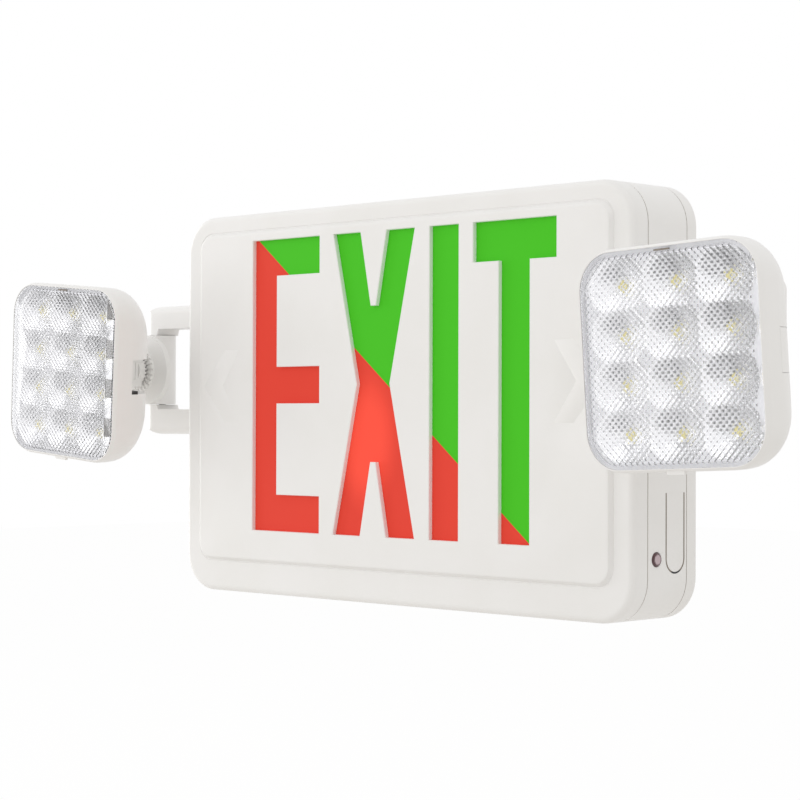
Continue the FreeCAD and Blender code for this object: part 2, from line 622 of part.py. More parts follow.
def corner_posts():
    """The places of the housing's four corner posts."""
    across, up = "(housing_width / 2 - post_inset)", "(housing_height / 2 - post_inset)"
    return [(f"{side} * {across}", f"{level} * {up}") for side in (LEFT, RIGHT) for level in (-1, 1)]


def board_corners():
    """The places of the main board's four screws."""
    across, up = "(main_board_width / 2 - board_hole_inset)", "(main_board_height / 2 - board_hole_inset)"
    return [(f"main_board_x + {side} * {across}", f"main_board_z + {level} * {up}")
            for side in (LEFT, RIGHT) for level in (-1, 1)]


def housing_outline(drawing, inset="0"):
    """The housing's rounded outline, moved inwards by an inset."""
    return drawing.rounded(f"housing_width - 2 * {inset}", f"housing_height - 2 * {inset}",
                           f"housing_corner - {inset}")


def screw(shop, name, head_radius, shank_radius, length, x, seat, z, head_height="screw_head_height"):
    """A screw driven out of the wall, whose head ends at its seat's depth."""
    head = shop.outward_rod(f"{name}_head", head_radius, head_height, x, f"{seat} - {head_height}", z)
    shank = shop.outward_rod(f"{name}_shank", shank_radius, length, x, seat, z)
    return shop.join(name, [head, shank])


def make_back_plate(shop):
    """A shallow tray that lies on the wall, with its box pattern, board posts and screw bosses."""
    plate = Moulding(shop, "back_plate")
    plate.pad(housing_outline(plate.draw("XZ")), "back_depth")
    plate.fillet("back_edge", flat_at(0))
    plate.pocket(housing_outline(plate.draw("XZ", "back_depth"), INNER_INSET), "back_depth - back_floor")
    lip = housing_outline(plate.draw("XZ", "back_depth"), LIP_INSET)
    plate.pad(housing_outline(lip, INNER_INSET), "lip_height")
    bosses = plate.draw("XZ", "back_floor")
    for x, z in corner_posts():
        bosses.circle("post_radius", x, z)
    plate.pad(bosses, f"{POST_START} - back_floor")
    standoffs = plate.draw("XZ", "back_floor")
    pilots = plate.draw("XZ", BOARD_BACK)
    for x, z in board_corners():
        standoffs.circle("standoff_radius", x, z)
        pilots.circle("board_screw_radius + seat_clearance", x, z)
    plate.pad(standoffs, "standoff_height")
    plate.pocket(pilots, "standoff_height")
    holes = plate.draw("XZ", "back_floor")
    holes.circle("wire_entry_radius", 0, "box_pattern_height")
    for side in (LEFT, RIGHT):
        holes.circle("box_screw_radius", f"{side} * octagon_spacing / 2", "box_pattern_height")
        holes.circle("box_screw_radius", 0, f"box_pattern_height + {side} * gang_spacing / 2")
    plate.pocket(holes, "back_floor")
    shanks = plate.draw("XZ", POST_START)
    heads = plate.draw("XZ")
    for x, z in corner_posts():
        shanks.circle("case_screw_radius + part_clearance", x, z)
        heads.circle("case_screw_head + part_clearance", x, z)
    plate.pocket(shanks, POST_START)
    plate.pocket(heads, SCREW_SEAT, forward=True)
    shop.node("back_plate", plate.body)


def make_housing_frame(shop):
    """The middle ring: corner posts, yoke windows, and the test tongue's opening."""
    frame = Moulding(shop, "frame")
    frame.pad(housing_outline(frame.draw("XZ", "back_depth")), "frame_depth")
    frame.chamfer("parting_groove", flat_at(shop.measure("back_depth")))
    frame.chamfer("parting_groove", flat_at(shop.measure(FRAME_FRONT)))
    frame.pocket(housing_outline(frame.draw("XZ", FRAME_FRONT), "housing_wall"), "frame_depth")
    post_length = f"{FRAME_FRONT} - lip_height - {POST_START}"
    posts = frame.draw("XZ", POST_START)
    for x, z in corner_posts():
        posts.circle("post_radius + post_swell", x, z)
    frame.pad(posts, post_length)
    screws = frame.draw("XZ", POST_START)
    for x, z in corner_posts():
        screws.circle("case_screw_radius + seat_clearance", x, z)
    frame.pocket(screws, "case_screw_length", forward=True)
    windows = frame.draw("YZ")
    for low, high in ((LOWER_ARM_BOTTOM, LOWER_ARM_TOP), (UPPER_ARM_BOTTOM, UPPER_ARM_TOP)):
        windows.rectangle("2 * (arm_radius + lip_clearance)", f"{high} - {low} + 2 * lip_clearance",
                          "-pivot_depth", f"({low} + {high}) / 2")
    frame.pocket(windows, "housing_width + 2 * housing_wall", both_ways=True)
    opening = frame.draw("YZ", SIDE_FACE)
    opening.strip("tongue_width + 2 * tongue_slit", "tongue_length + tongue_slit", "-tongue_depth_out",
                  "tongue_root_z")
    opening.circle("lamp_radius + lamp_hole_play", "-lamp_depth_out", "lamp_z")
    frame.pocket(opening, "2 * housing_wall")
    board_posts = frame.draw("YZ", SIDE_BOARD_FACE)
    for up in spread(2, "side_post_spacing"):
        board_posts.circle("side_post_radius", "-lamp_depth_out", f"side_board_z + {up}")
    frame.pad(board_posts, f"{SIDE_INSIDE} - {SIDE_BOARD_FACE} + housing_wall / 2")
    pilots = []
    for side in (LEFT, RIGHT):
        for up in spread(2, "yoke_screw_spacing"):
            start = SIDE_INSIDE if side == RIGHT else f"-{SIDE_INSIDE} - yoke_screw_bite"
            pilots.append(shop.sideways_rod("pilot", "yoke_screw_radius + seat_clearance", "yoke_screw_bite",
                                            start, "pivot_depth", f"block_centre_z + {up}"))
    shop.node("housing_frame", shop.cut("drilled_frame", frame.body, pilots))


def make_front_cover(shop):
    """The front shell: a rounded rim, the raised legend panel and the diffuser's seat behind it."""
    cover = Moulding(shop, "cover")
    cover.pad(housing_outline(cover.draw("XZ", FRAME_FRONT)), "cover_depth")
    cover.fillet("cover_edge", flat_at(shop.measure(COVER_RIM)))
    panel = cover.draw("XZ", COVER_RIM)
    panel.rounded("housing_width - 2 * panel_side_margin",
                  "housing_height - panel_top_margin - panel_bottom_margin", "panel_corner",
                  0, "(panel_bottom_margin - panel_top_margin) / 2")
    cover.pad(panel, "panel_rise")
    cover.chamfer("panel_bevel", flat_at(shop.measure(PANEL_FRONT)))
    cavity = housing_outline(cover.draw("XZ", FRAME_FRONT), INNER_INSET)
    cover.pocket(cavity, "cover_depth - cover_face", forward=True)
    seat = cover.draw("XZ", COVER_FLOOR)
    seat.rectangle("diffuser_width + 2 * part_clearance", "diffuser_height + 2 * part_clearance",
                   "legend_shift", "legend_height")
    cover.pocket(seat, "panel_rise", forward=True)
    lip = housing_outline(cover.draw("XZ", FRAME_FRONT), LIP_INSET)
    cover.pad(housing_outline(lip, INNER_INSET), "lip_height", backward=True)
    posts = cover.draw("XZ", f"{FRAME_FRONT} - lip_height")
    for x, z in corner_posts():
        posts.circle("post_radius", x, z)
    cover.pad(posts, "lip_height + cover_depth - cover_face")
    shop.node("front_cover", cover.body)


def make_legend(shop):
    """The coloured diffuser, the white tray behind it and the two LED strips on the tray's floor."""
    diffuser = shop.block("diffuser", "diffuser_width", "diffuser_height", "diffuser_sheet",
                          "legend_shift", DIFFUSER_BACK, "legend_height")
    shop.node("diffuser_panel", diffuser)

    def tray_section(name, depth, inset):
        drawing = shop.section(name, depth)
        return drawing.rectangle(f"diffuser_width - 2 * {inset}", f"diffuser_height - 2 * {inset}",
                                 "legend_shift", "legend_height")

    outside = shop.loft("tray_outside", [tray_section("tray_back", TRAY_BACK, "tray_flare"),
                                         tray_section("tray_mouth", DIFFUSER_BACK, "0")])
    inside = shop.loft("tray_inside",
                       [tray_section("tray_floor", STRIP_BACK, "(tray_flare + tray_wall)"),
                        tray_section("tray_opening", DIFFUSER_BACK, "tray_wall")])
    shop.node("light_tray", shop.cut("tray", outside, [inside]))
    leds = []
    for label, up in zip(("lower_led_strip", "upper_led_strip"), spread(2, "strip_spacing")):
        height = f"legend_height + {up}"
        strip = shop.block(label, "strip_width", "strip_height", "board_sheet", "legend_shift", STRIP_BACK, height)
        shop.node(label, strip)
        count = round(shop.measure("sign_led_count"))
        for across in spread(count, "strip_width / sign_led_count"):
            leds.append(shop.block("sign_led", "sign_led_size", "sign_led_size", "sign_led_height",
                                   f"legend_shift + {across}", f"{STRIP_BACK} + board_sheet", height))
    shop.node("sign_leds", shop.group("sign_led_group", leds))


def make_electronics(shop):
    """The main board and its larger parts, the transformer, the battery and the terminal block."""
    board = shop.block("main_board_blank", "main_board_width", "main_board_height", "board_sheet",
                       "main_board_x", BOARD_BACK, "main_board_z")
    holes, screws = [], []
    for x, z in board_corners():
        holes.append(shop.outward_rod("board_hole", "board_screw_radius + part_clearance", "board_sheet",
                                      x, BOARD_BACK, z))
        head = shop.outward_rod("board_screw_head", "board_screw_head", "screw_head_height", x, BOARD_FRONT, z)
        shank = shop.outward_rod("board_screw_shank", "board_screw_radius", "board_sheet + standoff_height",
                                 x, "back_floor", z)
        screws.append(shop.join("board_screw", [head, shank]))
    shop.node("main_board", shop.cut("main_board_drilled", board, holes))
    shop.node("board_screws", shop.group("board_screw_group", screws))
    capacitors = [shop.outward_rod("capacitor", "capacitor_radius", "capacitor_height",
                                   f"main_board_x + {across}", BOARD_FRONT, "main_board_z + main_board_height / 5")
                  for across in spread(3, "3 * capacitor_radius")]
    relay = shop.block("relay", "relay_width", "relay_height", "relay_depth",
                       "main_board_x - main_board_width / 4", BOARD_FRONT, "main_board_z - main_board_height / 6")
    header = shop.block("header", "header_width", "header_height", "header_depth",
                        "main_board_x + main_board_width / 4", BOARD_FRONT, "main_board_z - main_board_height / 4")
    shop.node("board_parts", shop.group("board_part_group", capacitors + [relay, header]))

    core_middle = f"(back_floor + core_foot + winding_depth / 2)"
    core = shop.block("core", "core_width", "core_height", "core_depth",
                      "transformer_x", f"{core_middle} - core_depth / 2", "battery_z")
    winding = shop.block("winding", "winding_width", "core_height - 2 * housing_wall", "winding_depth",
                         "transformer_x", "back_floor + core_foot", "battery_z")
    foot = shop.block("foot", "core_width + 2 * core_foot_margin", "core_height / 2", "core_foot",
                      "transformer_x", "back_floor", "battery_z")
    shop.node("transformer", shop.join("transformer_solid", [core, winding, foot]))

    cells = [shop.sideways_rod("cell", "cell_radius", "cell_length", "battery_x - cell_length / 2",
                               PACK_MIDDLE, f"battery_z + {up}")
             for up in spread(round(shop.measure("cell_count")), "(2 * cell_radius - cell_overlap)")]
    wrap = shop.block("wrap", "cell_length", f"{PACK_HEIGHT} - 2 * cell_radius", "cell_radius",
                      "battery_x", f"{PACK_MIDDLE} - cell_radius / 2", "battery_z")
    shop.node("battery_pack", shop.join("battery_solid", cells + [wrap]))
    shop.node("battery_strap", make_battery_strap(shop).body)

    body = shop.block("terminal_body", "terminal_count * terminal_pitch", "terminal_side", "terminal_depth",
                      "terminal_x", "back_floor", "terminal_z")
    ways = []
    for across in spread(round(shop.measure("terminal_count")), "terminal_pitch"):
        way = shop.upright_rod("wire_way", "terminal_bore", "terminal_side", f"terminal_x + {across}",
                               "back_floor + terminal_depth / 3", "terminal_z - terminal_side / 2")
        driver = shop.outward_rod("driver_way", "terminal_bore", "terminal_depth / 2", f"terminal_x + {across}",
                                  "back_floor + terminal_depth / 2", "terminal_z")
        ways += [way, driver]
    shop.node("terminal_block", shop.cut("terminal_solid", body, ways))


def make_battery_strap(shop):
    """A bent metal strap over the battery pack, with a foot at each end."""
    strap = Moulding(shop, "strap")
    reach = f"({PACK_HEIGHT} / 2 + part_clearance)"
    crown = f"({PACK_MIDDLE} + cell_radius + part_clearance)"
    corners = [(0, f"{reach} + strap_foot"), (1, f"{reach} + strap_foot"), (1, f"{reach} + strap_sheet"),
               (3, f"{reach} + strap_sheet"), (3, f"-{reach} - strap_sheet"), (1, f"-{reach} - strap_sheet"),
               (1, f"-{reach} - strap_foot"), (0, f"-{reach} - strap_foot"), (0, f"-{reach}"),
               (2, f"-{reach}"), (2, reach), (0, reach)]
    levels = ("-back_floor", "-back_floor - strap_sheet", f"-{crown}", f"-{crown} - strap_sheet")
    drawing = strap.draw("YZ", "battery_x")
    drawing.outline([(levels[level], f"battery_z + {up}") for level, up in corners])
    strap.pad(drawing, "strap_width", both_ways=True)
    return strap


def make_case_screws(shop):
    """Four screws, driven from the back plate into the frame's corner posts."""
    screws = [screw(shop, "case_screw", "case_screw_head", "case_screw_radius", "case_screw_length",
                    x, SCREW_SEAT, z) for x, z in corner_posts()]
    shop.node("case_screws", shop.group("case_screw_group", screws))


def make_test_side(shop):
    """The test button's tongue, the switch behind it and the charge lamp, all in the right wall."""
    tongue = Moulding(shop, "tongue")
    strip = tongue.draw("YZ", SIDE_FACE)
    strip.strip("tongue_width", "tongue_length - tongue_root_gap", "-tongue_depth_out",
                "tongue_root_z - tongue_root_gap")
    tongue.pad(strip, "tongue_sheet", backward=True)
    pip = tongue.draw("YZ", f"{SIDE_FACE} - tongue_sheet")
    pip.circle("pip_radius", "-tongue_depth_out", SWITCH_Z)
    tongue.pad(pip, "pip_length", backward=True)
    shop.node("test_button", tongue.body)

    board = Moulding(shop, "side_board")
    blank = board.draw("YZ", SIDE_BOARD_FACE)
    blank.rectangle("side_board_width", "side_board_height", "-side_board_depth - side_board_width / 2",
                    "side_board_z")
    board.pad(blank, "board_sheet", backward=True)
    shop.node("side_board", board.body)

    switch = Moulding(shop, "switch")
    case = switch.draw("YZ", SIDE_BOARD_FACE)
    case.rectangle("switch_side", "switch_side", "-tongue_depth_out", SWITCH_Z)
    switch.pad(case, "switch_height")
    bore = switch.draw("YZ", f"{SIDE_BOARD_FACE} + switch_height")
    bore.circle("plunger_radius + pin_clearance", "-tongue_depth_out", SWITCH_Z)
    switch.pocket(bore, "switch_height - switch_floor")
    shop.node("test_switch", switch.body)
    plunger = shop.sideways_rod("plunger", "plunger_radius", "plunger_length",
                                f"{PLUNGER_TIP} - plunger_length", "tongue_depth_out", SWITCH_Z)
    shop.node("test_plunger", plunger)

    lens = shop.sideways_rod("lamp_lens", "lamp_radius", "housing_wall + lamp_flange_sheet",
                             f"{SIDE_INSIDE} - lamp_flange_sheet", "lamp_depth_out", "lamp_z")
    flange = shop.sideways_rod("lamp_flange", "lamp_flange", "lamp_flange_sheet",
                               f"{SIDE_INSIDE} - lamp_flange_sheet", "lamp_depth_out", "lamp_z")
    turn = FreeCAD.Rotation(FreeCAD.Vector(0, 1, 0), 90)
    crown = shop.round_bar("Part::Cone", "lamp_crown", turn, SIDE_FACE, "-lamp_depth_out", "lamp_z",
                           Radius1="lamp_radius", Radius2="lamp_radius - lamp_dome", Height="lamp_dome")
    shop.node("charge_lamp", shop.join("lamp_solid", [lens, flange, crown]))
    led = shop.sideways_rod("lamp_led_solid", "lamp_led_radius", "lamp_led_length", SIDE_BOARD_FACE,
                            "lamp_depth_out", "lamp_z")
    shop.node("charge_led", led)


def yoke_section(shop, end):
    """The space that the yokes' arms may fill: soft along its four outer edges, and full inside the housing."""
    wall = "housing_width / 2"
    long, middle = f"{end} - {wall}", f"({end} + {wall}) / 2"
    high, centre = f"{UPPER_ARM_TOP} - ({LOWER_ARM_BOTTOM})", f"({UPPER_ARM_TOP} + {LOWER_ARM_BOTTOM}) / 2"
    inner = f"{wall} - {FLANGE_INSIDE} + 1"
    parts = [
        shop.block("yoke_inside", inner, "housing_height", "2 * arm_radius + 2", f"{wall} - ({inner}) / 2",
                   "pivot_depth - arm_radius - 1", 0),
        shop.block("arm_tall", long, high, "2 * (arm_radius - arm_edge)", middle,
                   "pivot_depth - arm_radius + arm_edge", centre),
        shop.block("arm_deep", long, f"{high} - 2 * arm_edge", "2 * arm_radius", middle,
                   "pivot_depth - arm_radius", centre)]
    for up in (f"{UPPER_ARM_TOP} - arm_edge", f"{LOWER_ARM_BOTTOM} + arm_edge"):
        for depth in ("pivot_depth - arm_radius + arm_edge", "pivot_depth + arm_radius - arm_edge"):
            parts.append(shop.sideways_rod("arm_edge_round", "arm_edge", long, wall, depth, up))
    return shop.join("yoke_section", parts)


def make_yokes(shop):
    """The two forked yokes that reach out of the housing's sides, with their screws and pivot pins."""
    arms = Moulding(shop, "yoke")
    end, foot = f"({PIVOT_X} + arm_radius)", "flange_margin"
    slope, flat = f"{PIVOT_X} - boss_half - boss_slope", f"{PIVOT_X} - boss_half"
    profile = arms.draw("XZ", "pivot_depth")
    profile.outline([
        (FLANGE_INSIDE, f"{LOWER_ARM_BOTTOM} - {foot}"), (SIDE_INSIDE, f"{LOWER_ARM_BOTTOM} - {foot}"),
        (SIDE_INSIDE, LOWER_ARM_BOTTOM), (end, LOWER_ARM_BOTTOM), (end, LOWER_BOSS_TOP),
        (flat, LOWER_BOSS_TOP), (slope, LOWER_ARM_TOP), (SIDE_INSIDE, LOWER_ARM_TOP),
        (SIDE_INSIDE, UPPER_ARM_BOTTOM), (slope, UPPER_ARM_BOTTOM), (flat, UPPER_BOSS_BOTTOM),
        (end, UPPER_BOSS_BOTTOM), (end, UPPER_ARM_TOP), (SIDE_INSIDE, UPPER_ARM_TOP),
        (SIDE_INSIDE, f"{UPPER_ARM_TOP} + {foot}"), (FLANGE_INSIDE, f"{UPPER_ARM_TOP} + {foot}")])
    arms.pad(profile, "2 * arm_radius", both_ways=True)
    tip, top, bottom = shop.measure(end), shop.measure(UPPER_ARM_TOP), shop.measure(LOWER_ARM_BOTTOM)
    arms.fillet("arm_corner", lambda box: box.XMin > tip - 0.01 and
                (box.ZMin > top - 0.01 or box.ZMax < bottom + 0.01))
    root = shop.block("yoke_root", f"{PIVOT_X} - {FLANGE_INSIDE} + 2", "housing_height", "2 * arm_radius + 2",
                      f"({PIVOT_X} + {FLANGE_INSIDE}) / 2 - 1", "pivot_depth - arm_radius - 1", 0)
    tip_round = shop.upright_rod("yoke_tip", "arm_radius", "housing_height", PIVOT_X, "pivot_depth",
                                 "-housing_height / 2")
    plan = shop.join("yoke_plan", [root, tip_round])
    rounded = shop.document.addObject("Part::MultiCommon", "yoke_rounded")
    rounded.Shapes = [arms.body, plan, yoke_section(shop, end)]
    tools = [shop.upright_rod("yoke_bore", "pivot_pin_radius + seat_clearance",
                              "block_height + 2 * boss_gap + 2 * pivot_pin_bite", PIVOT_X, "pivot_depth",
                              f"{LOWER_BOSS_TOP} - pivot_pin_bite")]
    for up in spread(2, "yoke_screw_spacing"):
        tools.append(shop.sideways_rod("flange_hole", "yoke_screw_radius + part_clearance", "flange_sheet",
                                       FLANGE_INSIDE, "pivot_depth", f"block_centre_z + {up}"))
    yoke = shop.node("right_yoke", shop.cut("yoke_solid", rounded, tools))
    mirror = shop.document.addObject("Part::Mirroring", "yoke_mirror")
    mirror.Source = yoke
    mirror.Normal = FreeCAD.Vector(1, 0, 0)
    shop.node("left_yoke", mirror)
    screws = []
    for side in (LEFT, RIGHT):
        for up in spread(2, "yoke_screw_spacing"):
            head_start = f"{FLANGE_INSIDE} - screw_head_height" if side == RIGHT else f"-{FLANGE_INSIDE}"
            shank_start = (FLANGE_INSIDE if side == RIGHT
                           else f"-{SIDE_INSIDE} - yoke_screw_bite")
            head = shop.sideways_rod("yoke_screw_head", "yoke_screw_head", "screw_head_height",
                                     head_start, "pivot_depth", f"block_centre_z + {up}")
            shank = shop.sideways_rod("yoke_screw_shank", "yoke_screw_radius", "flange_sheet + yoke_screw_bite",
                                      shank_start, "pivot_depth", f"block_centre_z + {up}")
            screws.append(shop.join("yoke_screw", [head, shank]))
        name = "left_pivot_pin" if side == LEFT else "right_pivot_pin"
        pin = shop.upright_rod(name, "pivot_pin_radius", "block_height + 2 * boss_gap + 2 * pivot_pin_bite",
                               f"{side} * {PIVOT_X}", "pivot_depth", f"{LOWER_BOSS_TOP} - pivot_pin_bite")
        shop.node(name, pin)
    shop.node("yoke_screws", shop.group("yoke_screw_group", screws))


class LampHead:
    """One adjustable lamp head, from its swivel block to its lens."""

    def __init__(self, shop, name, side, roll):
        self.shop = shop
        self.name = name
        self.side = side
        origin = FreeCAD.Vector(side * shop.measure(PIVOT_X), -shop.measure("disc_depth"),
                                shop.measure("block_centre_z"))
        droop = FreeCAD.Rotation(FreeCAD.Vector(1, 0, 0), shop.measure("aim_down"))
        turn = FreeCAD.Rotation(FreeCAD.Vector(0, 1, 0), shop.measure(roll))
        self.disc_frame = FreeCAD.Placement(origin, droop)
        self.head_frame = FreeCAD.Placement(origin, droop * turn)

    def node(self, label, thing, frame=None):
        """Names a piece of this head and sets it down in the head's frame."""
        whole = self.shop.group(f"{self.name}_{label}_set_down", [thing])
        self.shop.node(f"{self.name}_{label}", whole, frame or self.head_frame)

    def make(self):
        """Makes every piece of the head."""
        self.make_swivel_block()
        self.make_knuckle()
        self.make_shoulder_screw()
        self.make_casing()
        self.make_lens()
        self.make_light_engine()

    def make_swivel_block(self):
        """The block between the yoke's arms: a barrel, a neck, a stepped disc and a ring of teeth."""
        shop = self.shop
        disc = Moulding(shop, f"{self.name}_disc")
        profile = disc.draw("XY")
        profile.outline([(0, "disc_rim"), ("disc_radius", "disc_rim"), ("disc_radius", 0),
                         ("step_radius", "-step_reach"), ("ring_radius", "-step_reach - tooth_height"),
                         ("ring_radius", "-ring_reach"), ("ring_bore", "-ring_reach"),
                         ("ring_bore", "-step_reach"), (0, "-step_reach")])
        disc.turned(profile, "Y")
        gap = disc.draw("XZ", "ring_reach")
        gap.rectangle("ring_radius - ring_bore + 2 * tooth_height", "tooth_gap_width",
                      "(ring_radius + ring_bore) / 2")
        disc.repeat_round(disc.pocket(gap, "tooth_height"), "Y", "tooth_count")
        disc.body.Placement = self.disc_frame
        pivot = f"{self.side} * {PIVOT_X}"
        barrel = shop.upright_rod("barrel", "arm_radius", "block_height", pivot, "pivot_depth", BLOCK_BOTTOM)
        neck = shop.block("neck", "2 * arm_radius", "block_height", "disc_depth - disc_rim / 2 - pivot_depth",
                          pivot, "pivot_depth", "block_centre_z")
        block = shop.join(f"{self.name}_block_stock", [barrel, neck, disc.body])
        bore = shop.upright_rod("block_bore", "pivot_pin_radius + pin_clearance", "block_height + 2 * boss_gap",
                                pivot, "pivot_depth", LOWER_BOSS_TOP)
        screw_hole = shop.outward_rod("screw_hole", "shoulder_radius + seat_clearance",
                                      "shoulder_bite + ring_reach", 0, "-shoulder_bite", 0)
        aimed_hole = shop.group(f"{self.name}_screw_hole", [screw_hole])
        aimed_hole.Placement = self.disc_frame
        solid = shop.cut(f"{self.name}_block", block, [bore, aimed_hole])
        shop.node(f"{self.name}_swivel_block", solid)

    def make_knuckle(self):
        """The toothed hub that turns on the disc, and the two ears that carry the lamp head."""
        knuckle = Moulding(self.shop, f"{self.name}_knuckle")
        hub = knuckle.draw("XY")
        bore = "shoulder_radius + pin_clearance"
        hub.outline([(bore, f"-{HUB_BACK}"), ("hub_radius", f"-{HUB_BACK}"), ("hub_radius", "-hub_reach"),
                     (bore, "-hub_reach")])
        knuckle.turned(hub, "Y")
        gap = knuckle.draw("XZ", HUB_BACK)
        gap.rectangle("hub_radius - shoulder_radius", "tooth_gap_width", "hub_radius")
        knuckle.repeat_round(knuckle.pocket(gap, "tooth_height", forward=True), "Y", "tooth_count")
        neck_start = f"({HUB_BACK} + 2 * tooth_height)"
        neck = knuckle.draw("XY")
        neck.rectangle("2 * neck_half", f"hinge_reach - {neck_start}", 0, f"-(hinge_reach + {neck_start}) / 2")
        knuckle.pad(neck, NECK_HEIGHT, both_ways=True)
        ears = knuckle.draw("XY")
        ears.circle("neck_half", 0, "-hinge_reach")
        knuckle.pad(ears, NECK_HEIGHT, both_ways=True)
        slot = knuckle.draw("XY")
        slot.rectangle("4 * neck_half", "hinge_reach + 2 * neck_half - ear_slot_reach", 0,
                       "-(hinge_reach + 2 * neck_half + ear_slot_reach) / 2")
        knuckle.pocket(slot, "ear_slot", both_ways=True)
        hinge = knuckle.draw("XY")
        hinge.circle("hinge_pin_radius + pin_clearance", 0, "-hinge_reach")
        knuckle.pocket(hinge, f"2 * {NECK_HEIGHT}", both_ways=True)
        way = knuckle.draw("XZ", neck_start)
        way.circle(bore)
        knuckle.pocket(way, f"ear_slot_reach - {neck_start}", forward=True)
        self.node("knuckle", knuckle.body)

    def make_shoulder_screw(self):
        """The screw that the knuckle turns on, and the spring under its head."""
        shop = self.shop
        head = shop.outward_rod("shoulder_head", "shoulder_head", "shoulder_head_height", 0, SHOULDER_SEAT, 0)
        shank = shop.outward_rod("shoulder_shank", "shoulder_radius", f"shoulder_bite + {SHOULDER_SEAT}",
                                 0, "-shoulder_bite", 0)
        self.node("shoulder_screw", shop.join(f"{self.name}_shoulder", [head, shank]), self.disc_frame)
        spring = Moulding(shop, f"{self.name}_spring")
        wire = spring.draw("XY")
        wire.circle("spring_wire", "spring_radius", f"-{SPRING_BACK} - spring_wire")
        coil = spring.feature("AdditiveHelix", wire, Pitch="(spring_length - 2 * spring_wire) / spring_turns",
                              Height="spring_length - 2 * spring_wire")
        coil.Mode = "pitch-height-angle"
        coil.ReferenceAxis = (spring.origin("Y_Axis"), [""])
        coil.Reversed = True
        self.node("ratchet_spring", spring.body, self.disc_frame)

    def casing_section(self, name, reach, inset, shrink="0"):
        """The casing's rounded square at a reach, moved inwards, and drawn in over the dome."""
        side = f"head_size - 2 * {inset} - 2 * {shrink}"
        return self.shop.section(f"{self.name}_{name}", reach).rounded(side, side, f"head_corner - {inset}")

    def casing_solid(self, name, inset, mouth):
        """The casing's outside, or its hollow: a straight rim and a domed back."""
        shop = self.shop
        rim = shop.prism(f"{self.name}_{name}_rim", self.casing_section(f"{name}_edge", DOME_REACH, inset),
                         f"{mouth} - {DOME_REACH}")
        steps = round(shop.measure("dome_steps"))
        sections = []
        for step in range(steps + 1):
            angle = 90 * step / steps
            dome = f"(head_dome - {inset})"
            sections.append(self.casing_section(f"{name}_{step}", f"{DOME_REACH} - {dome} * sin({angle})", inset,
                                                f"{dome} * (1 - cos({angle}))"))
        return shop.join(f"{self.name}_{name}", [rim, shop.loft(f"{self.name}_{name}_dome", sections)])

    def make_casing(self):
        """The casing: a domed shell whose back and right side are cut by the knuckle's pocket."""
        shop = self.shop
        outside = self.casing_solid("outside", "0", "rim_reach")
        hollow = self.casing_solid("hollow", "head_wall", "(rim_reach + lens_stand)")
        seat_section = shop.section(f"{self.name}_seat_edge", LENS_BACK)
        seat_side = f"{LENS_SIZE} + lip_clearance"
        seat = shop.prism(f"{self.name}_seat", seat_section.rounded(seat_side, seat_side, "lens_corner"),
                          "lens_stand + lens_sheet")
        shell = shop.cut(f"{self.name}_shell", outside, [hollow, seat])
        width = f"{POCKET_SHUT_SIDE} + head_size / 2"
        stock = shop.block("pocket_stock", f"{width} + pocket_wall", "pocket_height + 2 * pocket_wall",
                           "pocket_front + pocket_wall - head_back",
                           f"(head_size / 2 - {POCKET_SHUT_SIDE} - pocket_wall) / 2", "head_back", 0)
        walls = shop.document.addObject("Part::MultiCommon", f"{self.name}_pocket_walls")
        walls.Shapes = [outside, stock]
        space = shop.block("pocket_space", f"{width} + head_wall", "pocket_height", "pocket_front",
                           f"(head_size / 2 - {POCKET_SHUT_SIDE} + head_wall) / 2", 0, 0)
        pin_length = "(pocket_height + 2 * pocket_wall)"
        bore = shop.upright_rod("hinge_bore", "hinge_pin_radius + seat_clearance", pin_length, 0,
                                "hinge_reach", f"-{pin_length} / 2")
        casing = shop.cut(f"{self.name}_casing_solid", shop.join(f"{self.name}_walled", [shell, walls]),
                          [space, bore])
        self.node("casing", casing)
        pin = shop.upright_rod(f"{self.name}_hinge", "hinge_pin_radius", pin_length, 0, "hinge_reach",
                               f"-{pin_length} / 2")
        self.node("hinge_pin", pin)

    def make_lens(self):
        """The clear cover with its skirt inside the casing."""
        lens = Moulding(self.shop, f"{self.name}_lens")
        lens.pad(lens.draw("XZ", LENS_BACK).rounded(LENS_SIZE, LENS_SIZE, "lens_corner"), "lens_sheet")
        lens.fillet("lens_edge", flat_at(self.shop.measure(f"{LENS_BACK} + lens_sheet")))
        skirt = lens.draw("XZ", LENS_BACK)
        for inset in ("lip_clearance", "(lip_clearance + skirt_wall)"):
            side = f"{CASING_INSIDE} - 2 * {inset}"
            skirt.rounded(side, side, f"head_corner - head_wall - {inset}")
        lens.pad(skirt, "skirt_height", backward=True)
        self.node("lens", lens.body)

    def make_light_engine(self):
        """The reflector's tray of cups, the board behind it and the board's LEDs."""
        shop = self.shop
        board = shop.block(f"{self.name}_board", HEAD_BOARD_SIZE, HEAD_BOARD_SIZE, "head_board_sheet",
                           0, HEAD_BOARD_BACK, 0)
        self.node("lamp_board", board)
        stock = shop.prism(f"{self.name}_reflector_stock",
                           shop.section(f"{self.name}_reflector_edge", REFLECTOR_BACK).rounded(
                               REFLECTOR_SIZE, REFLECTOR_SIZE, "reflector_corner"), REFLECTOR_DEPTH)
        cups, leds = [], []
        for across in spread(round(shop.measure("cup_columns")), "cup_column_pitch"):
            for up in spread(round(shop.measure("cup_rows")), "cup_row_pitch"):
                cups.append(shop.outward_cone("cup", "cup_root", "cup_mouth", REFLECTOR_DEPTH, across,
                                              REFLECTOR_BACK, up))
                leds.append(shop.block("lamp_led", "head_led_size", "head_led_size", "head_led_height",
                                       across, HEAD_BOARD_FRONT, up))
        self.node("reflector", shop.cut(f"{self.name}_reflector_solid", stock, cups))
        self.node("lamp_leds", shop.group(f"{self.name}_lamp_leds", leds))


